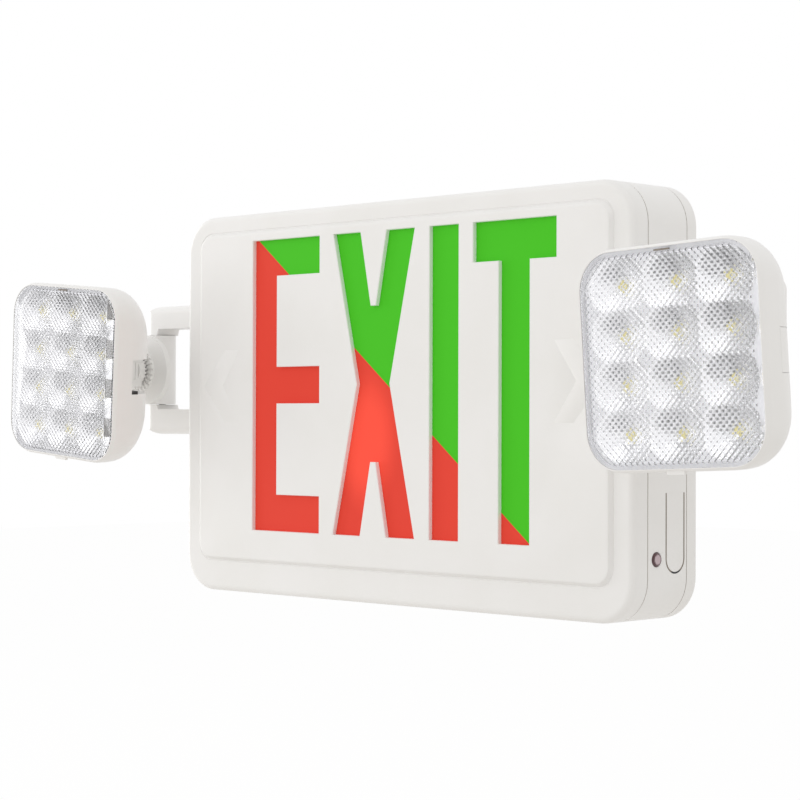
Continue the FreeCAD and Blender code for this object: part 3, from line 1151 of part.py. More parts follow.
def main():
    """Builds every piece of the light and writes its files."""
    shop = Workshop("ExitLight", DIMENSIONS)
    make_back_plate(shop)
    make_housing_frame(shop)
    make_front_cover(shop)
    make_legend(shop)
    make_electronics(shop)
    make_case_screws(shop)
    make_test_side(shop)
    make_yokes(shop)
    LampHead(shop, "left", LEFT, "left_roll").make()
    LampHead(shop, "right", RIGHT, "right_roll").make()
    shop.finish()


main()
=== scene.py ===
"""Looks for a wall-hung emergency exit light with two adjustable lamp heads.

Sizes are in millimetres here and become metres when a mesh is made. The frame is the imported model's:
+X to the sign's right, +Z up and -Y out of the wall, so a depth of d is Y = -d.
"""
from __future__ import annotations

import functools
import json
import logging
import math
from dataclasses import dataclass, field
from enum import Enum
from typing import Any, Mapping, Sequence

import bmesh
import bpy
import numpy as np
from mathutils import Matrix, Vector
from mathutils.geometry import delaunay_2d_cdt

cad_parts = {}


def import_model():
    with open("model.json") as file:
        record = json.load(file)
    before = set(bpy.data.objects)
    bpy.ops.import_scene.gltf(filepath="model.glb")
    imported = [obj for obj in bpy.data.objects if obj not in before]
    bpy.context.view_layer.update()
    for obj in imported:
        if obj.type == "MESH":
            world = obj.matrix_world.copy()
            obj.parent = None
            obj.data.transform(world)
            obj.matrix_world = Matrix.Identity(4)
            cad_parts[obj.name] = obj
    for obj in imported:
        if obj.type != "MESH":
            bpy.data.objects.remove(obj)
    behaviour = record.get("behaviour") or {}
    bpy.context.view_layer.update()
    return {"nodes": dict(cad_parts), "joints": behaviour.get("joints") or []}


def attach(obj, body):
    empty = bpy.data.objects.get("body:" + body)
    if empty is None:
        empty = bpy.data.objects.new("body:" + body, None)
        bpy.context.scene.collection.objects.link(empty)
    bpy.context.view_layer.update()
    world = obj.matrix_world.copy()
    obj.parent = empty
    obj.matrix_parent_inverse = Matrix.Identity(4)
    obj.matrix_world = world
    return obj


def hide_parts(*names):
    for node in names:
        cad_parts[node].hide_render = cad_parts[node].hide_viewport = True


LOG = logging.getLogger("exit_light")
MM = 0.001
Colour = tuple[float, float, float]
WHITE: Colour = (1.0, 1.0, 1.0)


def linear(red: int, green: int, blue: int) -> Colour:
    """Turns display colour values of 0 to 255 into linear ones.

    Args:
        red: Display red.
        green: Display green.
        blue: Display blue.

    Returns:
        The linear colour.
    """
    display = np.array([red, green, blue]) / 255.0
    curve = np.where(display <= 0.04045, display / 12.92, ((display + 0.055) / 1.055) ** 2.4)
    return tuple(float(value) for value in curve)


# --------------------------------------------------------------------------- shader expressions


class Wire:
    """A node's output, with Python's operators standing for Math nodes."""

    def __init__(self, tree: "Tree", socket: bpy.types.NodeSocket) -> None:
        """Wraps one output socket of a tree."""
        self.tree = tree
        self.socket = socket

    def maths(self, operation: str, *others: Any) -> "Wire":
        """Adds a Math node that takes this value first.

        Args:
            operation: The Math node's operation.
            others: Its further values or wires.

        Returns:
            The node's result.
        """
        values = dict(enumerate((self, *others)))
        return self.tree.node("ShaderNodeMath", {"operation": operation}, values)

    def __add__(self, other: Any) -> "Wire":
        """Sum."""
        return self.maths("ADD", other)

    __radd__ = __add__

    def __sub__(self, other: Any) -> "Wire":
        """Difference."""
        return self.maths("SUBTRACT", other)

    def __rsub__(self, other: Any) -> "Wire":
        """Difference with this value taken away."""
        return self.maths("MULTIPLY", -1.0).maths("ADD", other)

    def __mul__(self, other: Any) -> "Wire":
        """Product."""
        return self.maths("MULTIPLY", other)

    __rmul__ = __mul__

    def smooth(self, low: float, high: float) -> "Wire":
        """Rises from 0 at low to 1 at high, with soft ends."""
        settings = {"interpolation_type": "SMOOTHSTEP"}
        return self.tree.node("ShaderNodeMapRange", settings, {"Value": self, "From Min": low, "From Max": high})


class Tree:
    """One material's nodes."""

    def __init__(self, name: str) -> None:
        """Starts an empty material.

        Args:
            name: The material's name.
        """
        self.material = bpy.data.materials.new(name)
        self.material.use_nodes = True
        self.nodes = self.material.node_tree.nodes
        self.nodes.clear()

    def node(self, kind: str, settings: Mapping[str, Any] | None = None,
             values: Mapping[Any, Any] | None = None, result: int | str = 0) -> Wire:
        """Adds a node, sets it up and links it.

        Args:
            kind: The node's type.
            settings: Its properties, set before its sockets.
            values: Socket name or number to a value or a wire.
            result: The output to return.

        Returns:
            That output, as a wire.
        """
        made = self.nodes.new(kind)
        for key, value in (settings or {}).items():
            setattr(made, key, value)
        for key, value in (values or {}).items():
            if isinstance(value, Wire):
                self.material.node_tree.links.new(value.socket, made.inputs[key])
            elif isinstance(value, tuple) and len(value) == 3 and made.inputs[key].type == "RGBA":
                made.inputs[key].default_value = (*value, 1.0)
            else:
                made.inputs[key].default_value = value
        return Wire(self, made.outputs[result] if made.outputs else None)

    def place(self) -> Wire:
        """The point's place on the object, in metres."""
        return self.node("ShaderNodeTexCoord", result="Object")

    def axes(self, vector: Wire) -> list[Wire]:
        """The three numbers of a vector."""
        parts = self.node("ShaderNodeSeparateXYZ", None, {0: vector})
        return [Wire(self, part) for part in parts.socket.node.outputs]

    def map_axes(self, label: str) -> list[Wire]:
        """The two numbers of a piece's own map."""
        return self.axes(self.node("ShaderNodeUVMap", {"uv_map": label}))[:2]

    def noise(self, scale: float, detail: float = 2.0) -> Wire:
        """Noise with about `scale` features in a metre, from 0 to 1."""
        return self.node("ShaderNodeTexNoise", None, {"Vector": self.place(), "Scale": scale, "Detail": detail})

    def distance(self, across: Wire, up: Wire) -> Wire:
        """The length of a step across and a step up."""
        return (across * across + up * up).maths("SQRT")

    def mix(self, amount: Any, first: Any, second: Any) -> Wire:
        """Blends two colours."""
        return self.node("ShaderNodeMix", {"data_type": "RGBA"}, {0: amount, 6: first, 7: second}, 2)

    def bump(self, height: Wire, distance: float) -> Wire:
        """Turns a height into a normal."""
        return self.node("ShaderNodeBump", None, {"Height": height, "Distance": distance, "Strength": 1.0})

    def finish(self, values: Mapping[str, Any]) -> bpy.types.Material:
        """Ends the material in a Principled shader.

        Args:
            values: The shader's socket names to values or wires.

        Returns:
            The finished material.
        """
        shader = self.node("ShaderNodeBsdfPrincipled", None, values)
        self.node("ShaderNodeOutputMaterial", None, {"Surface": shader})
        return self.material


# --------------------------------------------------------------------------- finishes


@dataclass(frozen=True)
class MouldedPlastic:
    """Injection-moulded plastic: an even colour with a faint cloudiness and a fine spark-eroded grain."""

    name: str
    colour: Colour
    shade: Colour
    roughness: float = 0.42
    grain: float = 0.012
    grain_scale: float = 1600.0
    cloud_scale: float = 22.0

    def make(self) -> bpy.types.Material:
        """Makes the material: slow noise drifts the colour and roughness, fine noise lifts the grain.

        Returns:
            The material.
        """
        tree = Tree(self.name)
        cloud = tree.noise(self.cloud_scale, 3.0)
        fine = tree.noise(self.grain_scale, 1.0)
        return tree.finish({
            "Base Color": tree.mix(cloud.smooth(0.3, 0.75), self.colour, self.shade),
            "Roughness": self.roughness + 0.10 * (cloud - 0.5) + 0.06 * (fine - 0.5),
            "Normal": tree.bump(fine, self.grain * MM),
        })


@dataclass(frozen=True)
class SplitFilm:
    """The legend's film: one colour above a slanted line, another below it, lit a little from behind.

    The lower colour is livelier round one spot, where the light behind it is strongest.
    """

    name: str
    above: Colour
    below: Colour
    below_lit: Colour
    start: tuple[float, float]
    end: tuple[float, float]
    spot: tuple[float, float]
    spot_reach: tuple[float, float]
    spot_flat: float = 0.6
    line_soft: float = 0.12
    glow: float = 0.12
    shine: float = 0.06

    def make(self) -> bpy.types.Material:
        """Makes the material: the signed distance from the slanted line picks the colour.

        Returns:
            The material.
        """
        tree = Tree(self.name)
        across, _, up = tree.axes(tree.place())
        run, rise = (self.end[0] - self.start[0]) * MM, (self.end[1] - self.start[1]) * MM
        length = math.hypot(run, rise)
        side = ((up - self.start[1] * MM) * run - (across - self.start[0] * MM) * rise) * (1.0 / length)
        far = tree.distance(across - self.spot[0] * MM, (up - self.spot[1] * MM) * self.spot_flat)
        near, end = (reach * MM for reach in self.spot_reach)
        lit = 1.0 - (far + 0.006 * (tree.noise(30.0) - 0.5)).smooth(near, end)
        lower = tree.mix(lit, self.below, self.below_lit)
        colour = tree.mix(side.smooth(-self.line_soft * MM, self.line_soft * MM), lower, self.above)
        fine = tree.noise(700.0, 2.0)
        return tree.finish({
            "Base Color": colour,
            "Roughness": 0.34 + 0.12 * fine,
            "Normal": tree.bump(fine, 0.004 * MM),
            "Emission Color": colour,
            "Emission Strength": self.glow,
            "Specular IOR Level": self.shine,
        })


@dataclass(frozen=True)
class ClearMoulding:
    """Clear moulded plastic with a prismatic back, and a painted dark reflection in the hollows between its prisms.

    The painted reflection is darkest in front of the tray's painted dark reflections behind it.
    """

    name: str
    tint: Colour
    hollow_reflection: Colour
    roughness: float = 0.03
    faint: float = 0.09
    hollow_edge: tuple[float, float] = (-0.66, 0.0)
    reflection_edge: tuple[float, float] = (0.0, 0.34)
    refraction: float = 1.49

    def make(self) -> bpy.types.Material:
        """Makes the material: the piece's map holds the prisms' wave and the painted dark reflection behind each
        point.

        Returns:
            The material.
        """
        tree = Tree(self.name)
        wave, reflection_patch = tree.map_axes("prism")
        haze = tree.noise(260.0, 2.0)
        # Painted reflection: the prisms' hollows darken, most in front of the tray's painted dark reflections.
        dark = self.faint + (1.0 - self.faint) * reflection_patch.smooth(*self.reflection_edge)
        hollow_reflection = (1.0 - wave.smooth(*self.hollow_edge)) * dark
        return tree.finish({
            "Base Color": tree.mix(hollow_reflection, self.tint, self.hollow_reflection),
            "Roughness": self.roughness + 0.03 * haze.smooth(0.5, 0.9),
            "Transmission Weight": 1.0,
            "IOR": self.refraction,
        })


@dataclass(frozen=True)
class BrightTray:
    """Vacuum-metallised plastic: mirror bright, with painted dark reflections on the cups' upper walls.

    Light that the prisms scatter back is painted in as a glow, weakest on the painted dark reflections.
    """

    name: str
    bright: Colour = (0.86, 0.86, 0.87)
    dark_reflection: Colour = (0.78, 0.78, 0.79)
    root: Colour = (0.62, 0.62, 0.60)
    ridge: Colour = (0.80, 0.80, 0.82)
    reflection_glow: Colour = (0.8, 0.8, 0.8)
    ridge_glow: Colour = (2.3, 2.3, 2.34)
    root_edge: tuple[float, float] = (0.0, 0.03)
    ridge_edge: tuple[float, float] = (0.86, 0.97)
    reflection_edge: tuple[float, float] = (0.05, 0.35)
    glow: float = 0.14

    def make(self) -> bpy.types.Material:
        """Makes the material.

        The piece's map holds how far up a cup's wall a point is, and how near the middle of the
        painted dark reflection above its LED.

        Returns:
            The material.
        """
        tree = Tree(self.name)
        climb, reflection_share = tree.map_axes("cup")
        ripple = tree.noise(420.0, 2.0)
        # Painted dark reflection on the cups' upper walls, and a painted glow for the light the prisms scatter back.
        dark_reflection = (reflection_share + 0.3 * (ripple - 0.5)).smooth(*self.reflection_edge)
        ridge = climb.smooth(*self.ridge_edge)
        wall = tree.mix(dark_reflection, self.bright, self.dark_reflection)
        glow = tree.mix(dark_reflection, WHITE, self.reflection_glow)
        return tree.finish({
            "Base Color": tree.mix(ridge, tree.mix(climb.smooth(*self.root_edge), self.root, wall), self.ridge),
            "Metallic": 1.0 - ridge,
            "Roughness": 0.20 + 0.14 * ripple.smooth(0.45, 0.8) + 0.2 * ridge,
            "Normal": tree.bump(ripple, 0.02 * MM),
            "Emission Color": tree.mix(ridge, glow, self.ridge_glow),
            "Emission Strength": self.glow,
        })


@dataclass(frozen=True)
class Metal:
    """Bare or plated metal with fine turning marks."""

    name: str
    colour: Colour
    roughness: float = 0.3

    def make(self) -> bpy.types.Material:
        """Makes the material: fine noise breaks up the shine.

        Returns:
            The material.
        """
        tree = Tree(self.name)
        marks = tree.noise(1200.0, 3.0)
        return tree.finish({
            "Base Color": tree.mix(marks, self.colour, tuple(0.8 * part for part in self.colour)),
            "Metallic": 1.0,
            "Roughness": self.roughness + 0.15 * (marks - 0.5),
            "Normal": tree.bump(marks, 0.005 * MM),
        })


@dataclass(frozen=True)
class GlowingChip:
    """An LED's phosphor: yellow, and faintly bright by itself."""

    name: str
    colour: Colour
    glow: float = 0.35

    def make(self) -> bpy.types.Material:
        """Makes the material: fine noise speckles the phosphor.

        Returns:
            The material.
        """
        tree = Tree(self.name)
        speckle = tree.noise(3500.0, 1.0)
        colour = tree.mix(speckle.smooth(0.35, 0.65), self.colour, tuple(0.75 * part for part in self.colour))
        return tree.finish({"Base Color": colour, "Roughness": 0.35 + 0.2 * speckle, "Emission Color": colour,
                            "Emission Strength": self.glow})


@dataclass(frozen=True)
class LitPlastic:
    """Pale plastic behind a clear cover, brightened by the light that the cover scatters on to it."""

    name: str
    colour: Colour
    glow: float

    def make(self) -> bpy.types.Material:
        """Makes the material: slow noise drifts the colour a little.

        Returns:
            The material.
        """
        tree = Tree(self.name)
        cloud = tree.noise(60.0)
        shade = tuple(0.95 * part for part in self.colour)
        return tree.finish({"Base Color": tree.mix(cloud, self.colour, shade), "Roughness": 0.35 + 0.1 * cloud,
                            "Emission Color": self.colour, "Emission Strength": self.glow})


@dataclass(frozen=True)
class TintedJewel:
    """The charge lamp's tinted lens: dark towards its wall and paler in its heart, where it shows its LED."""

    name: str
    wall: Colour
    heart: Colour
    middle: tuple[float, float]
    heart_reach: tuple[float, float]

    def make(self) -> bpy.types.Material:
        """Makes the material: the distance from the lens's axis picks the colour, and noise speckles it.

        Returns:
            The material.
        """
        tree = Tree(self.name)
        _, out, up = tree.axes(tree.place())
        speckle = tree.noise(1500.0, 1.0)
        far = tree.distance(out + self.middle[0] * MM, up - self.middle[1] * MM) + 0.8 * MM * (speckle - 0.5)
        near, end = (reach * MM for reach in self.heart_reach)
        wall = far.smooth(near, end)
        return tree.finish({"Base Color": tree.mix(wall, self.heart, self.wall), "Roughness": 0.12 + 0.1 * speckle})


class Finish(Enum):
    """The light's finishes."""

    SHELL = MouldedPlastic("shell_white", linear(243, 242, 241), linear(240, 239, 237))
    HINGES = MouldedPlastic("hinge_white", linear(243, 242, 241), linear(240, 239, 237), 0.40)
    # Painted shade: the dark bars at the ends of the left head's cups, seen through its lens.
    WINDOW = MouldedPlastic("cup_end_shade", linear(150, 146, 142), linear(88, 85, 82), 0.3, 0.02, 260.0)
    # Painted shade: the grey in the parting lines, in the test button's slit and on the lens clips.
    SHADE_GREY = MouldedPlastic("painted_shade_grey", linear(142, 132, 122), linear(128, 118, 108), 0.6)
    FILM = SplitFilm("legend_film", linear(73, 192, 38), linear(226, 71, 57), linear(254, 86, 68),
                     (-96.0, 85.0), (94.0, -67.0), (-15.0, -20.0), (8.0, 24.0))
    COLLAR = LitPlastic("lens_collar", linear(236, 236, 238), 0.25)
    CLEAR = ClearMoulding("prism_plastic", (0.99, 0.99, 1.0), (0.05, 0.05, 0.055))
    TRAY = BrightTray("cup_metal")
    STEEL = Metal("zinc_steel", (0.62, 0.62, 0.63))
    IRON = Metal("core_iron", (0.16, 0.16, 0.17), 0.55)
    BOARD = MouldedPlastic("board_laminate", (0.03, 0.16, 0.07), (0.025, 0.13, 0.06), 0.45, 0.02, 900.0)
    # Dark plastic parts; also the painted shade deep in the test button's slit and at the foot of the left head's
    # pocket.
    DARK = MouldedPlastic("dark_parts", (0.03, 0.03, 0.032), (0.024, 0.024, 0.026), 0.5)
    WRAP = MouldedPlastic("battery_wrap", (0.05, 0.15, 0.42), (0.04, 0.13, 0.36), 0.3)
    CHIP = GlowingChip("led_chip", (0.90, 0.80, 0.36))
    LAMP = TintedJewel("lamp_jewel", linear(84, 56, 60), linear(196, 176, 182), (30.5, -71.3), (1.7, 2.7))

    @functools.cache
    def material(self) -> bpy.types.Material:
        """Returns this finish's material, made the first time it is asked for."""
        return self.value.make()


# --------------------------------------------------------------------------- surfaces


def rounded_ring(width: float, height: float, radius: float, depth: float,
                 middle: tuple[float, float] = (0.0, 0.0), steps: int = 10) -> np.ndarray:
    """A rounded rectangle at a depth: each corner is an arc of `steps` + 1 points round its own centre.

    Args:
        width: Outside width.
        height: Outside height.
        radius: Corner radius.
        depth: Depth of the ring.
        middle: Its middle, across and up.
        steps: Steps in a corner's arc.

    Returns:
        The points, anticlockwise seen from the front.
    """
    turn = np.linspace(0.0, np.pi / 2, steps + 1)[None, :] + np.arange(4)[:, None] * np.pi / 2
    signs = np.array([[1, 1], [-1, 1], [-1, -1], [1, -1]])
    across = signs[:, :1] * (width / 2 - radius) + radius * np.cos(turn) + middle[0]
    up = signs[:, 1:] * (height / 2 - radius) + radius * np.sin(turn) + middle[1]
    return np.stack([across.ravel(), np.full(across.size, -depth), up.ravel()], axis=1)


def outline_ring(corners: Sequence[tuple[float, float]], grow: float, depth: float) -> np.ndarray:
    """A straight-sided outline at a depth, moved out by `grow`.

    A corner moves by the sum of its two sides' outward normals, divided by one plus their dot
    product, so that both sides move by exactly `grow`.

    Args:
        corners: The outline's corners, across and up.
        grow: How far the sides move out.
        depth: Depth of the ring.

    Returns:
        The points of the ring.
    """
    points = np.array(corners, dtype=float)
    following = np.roll(points, -1, axis=0)
    area = np.sum(points[:, 0] * following[:, 1] - following[:, 0] * points[:, 1])
    side = following - points
    normal = np.stack([side[:, 1], -side[:, 0]], axis=1) * np.sign(area)
    normal /= np.linalg.norm(normal, axis=1, keepdims=True)
    before = np.roll(normal, 1, axis=0)
    moved = points + grow * (normal + before) / (1.0 + np.sum(normal * before, axis=1, keepdims=True))
    return np.stack([moved[:, 0], np.full(len(moved), -depth), moved[:, 1]], axis=1)


@dataclass
class Skin:
    """The points and faces of one piece, collected ring by ring."""

    points: list[np.ndarray] = field(default_factory=list)
    faces: list[tuple[int, ...]] = field(default_factory=list)
    count: int = 0

    def ring(self, points: np.ndarray) -> np.ndarray:
        """Adds points.

        Args:
            points: An array whose last axis holds a point's three numbers.

        Returns:
            The points' numbers, in the array's own shape.
        """
        flat = points.reshape(-1, 3)
        numbers = np.arange(self.count, self.count + len(flat)).reshape(points.shape[:-1])
        self.points.append(flat)
        self.count += len(flat)
        return numbers

    def bridge(self, *rings: np.ndarray) -> None:
        """Joins each closed ring to the next one with four-sided faces.

        Args:
            rings: The rings' numbers, equally many in each.
        """
        for first, second in zip(rings, rings[1:]):
            sides = np.stack([first, np.roll(first, -1), np.roll(second, -1), second], axis=1)
            self.faces += [tuple(side) for side in sides.tolist()]

    def border(self, grid: np.ndarray) -> np.ndarray:
        """The numbers along a grid's border, as a closed ring."""
        return np.concatenate([grid[0, :-1], grid[:-1, -1], grid[-1, :0:-1], grid[:0:-1, 0]])

    def sheet(self, grid: np.ndarray, hearts: np.ndarray | None = None) -> np.ndarray:
        """Joins a grid's neighbours with four-sided faces, or with four triangles round each cell's heart.

        Args:
            grid: The points' numbers, in rows and columns.
            hearts: The numbers of the points in the cells' middles, one row and one column fewer.

        Returns:
            The numbers along the grid's border, as a closed ring.
        """
        around = [grid[:-1, :-1], grid[:-1, 1:], grid[1:, 1:], grid[1:, :-1]]
        if hearts is None:
            self.faces += [tuple(side) for side in np.stack(around, axis=-1).reshape(-1, 4).tolist()]
        else:
            for first, second in zip(around, around[1:] + around[:1]):
                self.faces += [tuple(side) for side in np.stack([first, second, hearts], -1).reshape(-1, 3).tolist()]
        return self.border(grid)

    def fill(self, *rings: np.ndarray) -> None:
        """Fills the flat area that an odd number of the rings go round.

        A triangle of the constrained triangulation stays if a ray from its middle crosses the
        rings' sides an odd number of times.

        Args:
            rings: The numbers of each closed ring, all at one depth.
        """
        stored = np.concatenate(self.points)
        numbers = np.concatenate(rings)
        flat = stored[numbers][:, [0, 2]]
        starts = np.cumsum([0] + [len(one) for one in rings[:-1]])
        edges = [(start + step, start + (step + 1) % len(one))
                 for start, one in zip(starts.tolist(), rings) for step in range(len(one))]
        made = delaunay_2d_cdt([Vector(point) for point in flat.tolist()], edges, [], 0, 1e-7)
        corners, triangles, sources = np.array([list(point) for point in made[0]]), np.array(made[2]), made[3]
        source = np.array([numbers[held[0]] for held in sources])
        middle = corners[triangles].mean(axis=1)
        first, second = flat[[edge[0] for edge in edges]], flat[[edge[1] for edge in edges]]
        above = (first[:, 1] > middle[:, 1:]) != (second[:, 1] > middle[:, 1:])
        rise = np.where(second[:, 1] == first[:, 1], 1e-12, second[:, 1] - first[:, 1])
        meets = first[:, 0] + (middle[:, 1:] - first[:, 1]) * (second[:, 0] - first[:, 0]) / rise
        inside = np.sum(above & (meets > middle[:, :1]), axis=1) % 2 == 1
        self.faces += [tuple(face) for face in source[triangles[inside]].tolist()]

    def build(self, name: str, finish: Finish, place: Matrix | None = None,
              maps: Mapping[str, np.ndarray] | None = None, sharp: float = 32.0) -> bpy.types.Object:
        """Makes the piece.

        Args:
            name: The object's name.
            finish: Its finish.
            place: Where it goes, in millimetres; its points are moved, not its object.
            maps: Map names to two numbers for every point.
            sharp: The angle in degrees past which an edge stays crisp.

        Returns:
            The new object.
        """
        points = np.concatenate(self.points)
        if place is not None:
            turn = np.array(place)
            points = points @ turn[:3, :3].T + turn[:3, 3]
        mesh = bpy.data.meshes.new(name)
        mesh.from_pydata((points * MM).tolist(), [], self.faces)
        work = bmesh.new()
        work.from_mesh(mesh)
        bmesh.ops.recalc_face_normals(work, faces=work.faces)
        work.to_mesh(mesh)
        work.free()
        for label, values in (maps or {}).items():
            layer = mesh.uv_layers.new(name=label)
            corner = np.empty(len(mesh.loops), dtype=np.int64)
            mesh.loops.foreach_get("vertex_index", corner)
            layer.data.foreach_set("uv", values[corner].astype(np.float32).ravel())
        mesh.shade_smooth()
        mesh.set_sharp_from_angle(angle=math.radians(sharp))
        mesh.materials.append(finish.material())
        made = bpy.data.objects.new(name, mesh)
        bpy.context.scene.collection.objects.link(made)
        LOG.info("%s: %d faces", name, len(mesh.polygons))
        return made


# --------------------------------------------------------------------------- the sign


@dataclass
class FrontCover:
    """The front shell with its raised panel, the cut-out legend and the two knock-out chevrons."""

    width: float = 310.0
    height: float = 201.0
    corner: float = 20.0
    back: float = 36.7
    rim: float = 47.2
    front: float = 49.0
    edge: float = 3.0
    groove: float = 0.4
    wall: float = 3.75
    inner_depth: float = 44.8
    seat_depth: float = 46.62
    seat: tuple[float, float] = (250.6, 156.6)
    legend: tuple[float, float] = (6.0, 9.3)
    panel: tuple[float, float] = (286.6, 174.6)
    panel_up: float = 3.6
    panel_corner: float = 9.0
    bevel: float = 1.4
    bevel_curve: tuple[tuple[float, float], ...] = ((0.8, 0.28), (0.95, 0.1), (1.25, 0.02), (1.6, 0.0))
    foot_groove: float = 0.28
    foot_curve: tuple[tuple[float, float], ...] = ((-0.9, 0.0), (-0.6, 1.0), (-0.15, 1.0))
    letter_height: float = 152.4
    stroke: float = 19.05
    letter_edge: float = 0.3
    chevron_line: float = 0.45
    chevron_depth: float = 0.09

    def letters(self) -> list[list[tuple[float, float]]]:
        """The outlines of the word's four letters, across and up.

        Returns:
            One list of corners for each letter.
        """
        low, high = self.legend[1] - self.letter_height / 2, self.legend[1] + self.letter_height / 2
        middle, bar = self.legend[1], self.stroke
        left, stem, right = -99.1, -80.4, -47.9
        first = [(left, low), (right, low), (right, low + bar), (stem, low + bar), (stem, middle - bar / 2),
                 (right, middle - bar / 2), (right, middle + bar / 2), (stem, middle + bar / 2),
                 (stem, high - bar), (right, high - bar), (right, high), (left, high)]
        heart, reach, arm, waist, crotch, notch = -8.7, 28.8, 19.5, 11.5, 39.0, 1.9
        upper = [(heart + waist, middle), (heart + reach, high), (heart + reach - arm, high),
                 (heart + notch, middle + crotch)]
        half = upper + [(2 * heart - across, up) for across, up in reversed(upper)]
        second = half[:-1] + [(2 * heart - across, 2 * middle - up) for across, up in half[:-1]]
        third = [(30.3, low), (49.5, low), (49.5, high), (30.3, high)]
        fourth = [(75.5, low), (94.8, low), (94.8, high - bar), (111.1, high - bar), (111.1, high),
                  (59.1, high), (59.1, high - bar), (75.5, high - bar)]
        return [first, second, third, fourth]

    def chevrons(self) -> list[list[tuple[float, float]]]:
        """The outlines of the right and left knock-out chevrons.

        Returns:
            One list of corners, across and up, for each chevron.
        """
        up = self.legend[1]
        half = [(138.6, up), (121.6, up + 19.2), (109.6, up + 19.2), (123.2, up),
                (109.6, up - 19.2), (121.6, up - 19.2)]
        return [half, [(-across, high) for across, high in half]]

    def ring(self, inset: float, depth: float) -> np.ndarray:
        """The housing's outline, moved in by an inset."""
        return rounded_ring(self.width - 2 * inset, self.height - 2 * inset, self.corner - inset, depth)

    def panel_ring(self, inset: float, depth: float) -> np.ndarray:
        """The raised panel's outline, moved in by an inset."""
        return rounded_ring(self.panel[0] - 2 * inset, self.panel[1] - 2 * inset, self.panel_corner - inset,
                            depth, (0.0, self.panel_up))

    def make(self) -> bpy.types.Object:
        """Makes the cover: rings from its rear edge round to the panel, the face, and back inside.

        The panel's foot is a shallow groove, given as insets and shares of its depth. The bevel is
        given as shares of its width and of the panel's rise that is left.

        Returns:
            The cover.
        """
        skin = Skin()
        turn = np.linspace(0.0, np.pi / 2, 9)
        outer = [self.ring(self.groove, self.back), self.ring(0.0, self.back + self.groove),
                 self.ring(0.0, self.rim - self.edge - 0.5)]
        outer += [self.ring(self.edge * (1 - math.cos(angle)), self.rim - self.edge * (1 - math.sin(angle)))
                  for angle in turn]
        outer.append(self.ring(self.edge + 0.6, self.rim))
        outer += [self.panel_ring(inset, self.rim - share * self.foot_groove) for inset, share in self.foot_curve]
        outer.append(self.panel_ring(0.0, self.rim + 0.05))
        outer += [self.panel_ring(self.bevel * share, self.front - left * (self.front - self.rim))
                  for share, left in self.bevel_curve]
        rings = [skin.ring(points) for points in outer]
        skin.bridge(*rings)
        fronts, backs = [rings[-1]], []
        for letter in self.letters():
            lip = skin.ring(outline_ring(letter, self.letter_edge, self.front))
            shoulder = skin.ring(outline_ring(letter, 0.0, self.front - self.letter_edge))
            foot = skin.ring(outline_ring(letter, 0.0, self.seat_depth))
            skin.bridge(lip, shoulder, foot)
            fronts.append(lip)
            backs.append(foot)
        for chevron in self.chevrons():
            line = self.chevron_line / 2
            cut = [skin.ring(outline_ring(chevron, grow, depth)) for grow, depth in
                   ((line, self.front), (0.0, self.front - self.chevron_depth), (-line, self.front))]
            skin.bridge(*cut)
            fronts += [cut[0], cut[2]]
        skin.fill(*fronts)
        seat = [skin.ring(rounded_ring(*self.seat, 1.0, depth, self.legend))
                for depth in (self.seat_depth, self.inner_depth)]
        skin.fill(seat[0], *backs)
        inside = [skin.ring(self.ring(self.wall, self.inner_depth)), skin.ring(self.ring(self.wall, self.back))]
        skin.bridge(*seat)
        skin.fill(inside[0], seat[1])
        skin.bridge(*inside, rings[0])
        made = skin.build("legend_cover", Finish.SHELL)
        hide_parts("front_cover")
        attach(made, "housing")
        return made


@dataclass
class Slab:
    """A rounded square slab on a grid, whose front face is shaped by a height over its place.

    A row's half-width is the square's half, and over the corners the arc's: the rows follow the
    corner's angle there. A column is the same share of every row's half-width.
    """

    half: float
    corner: float
    columns: int
    straight_rows: int
    corner_rows: int

    def grid(self, inset: float) -> tuple[np.ndarray, np.ndarray]:
        """The grid's places for the slab moved in by an inset.

        Args:
            inset: How far its outline moves in.

        Returns:
            The places across, and the places up.
        """
        straight = self.half - self.corner
        radius = self.corner - inset
        turn = np.linspace(0.0, np.pi / 2, self.corner_rows + 1)[1:]
        level = np.linspace(-straight, straight, self.straight_rows + 1)
        up = np.concatenate([(-straight - radius * np.sin(turn))[::-1], level, straight + radius * np.sin(turn)])
        wide = np.concatenate([(straight + radius * np.cos(turn))[::-1], np.full(level.shape, straight + radius),
                               straight + radius * np.cos(turn)])
        share = np.linspace(-1.0, 1.0, self.columns + 1)
        return wide[:, None] * share[None, :], np.repeat(up[:, None], self.columns + 1, axis=1)


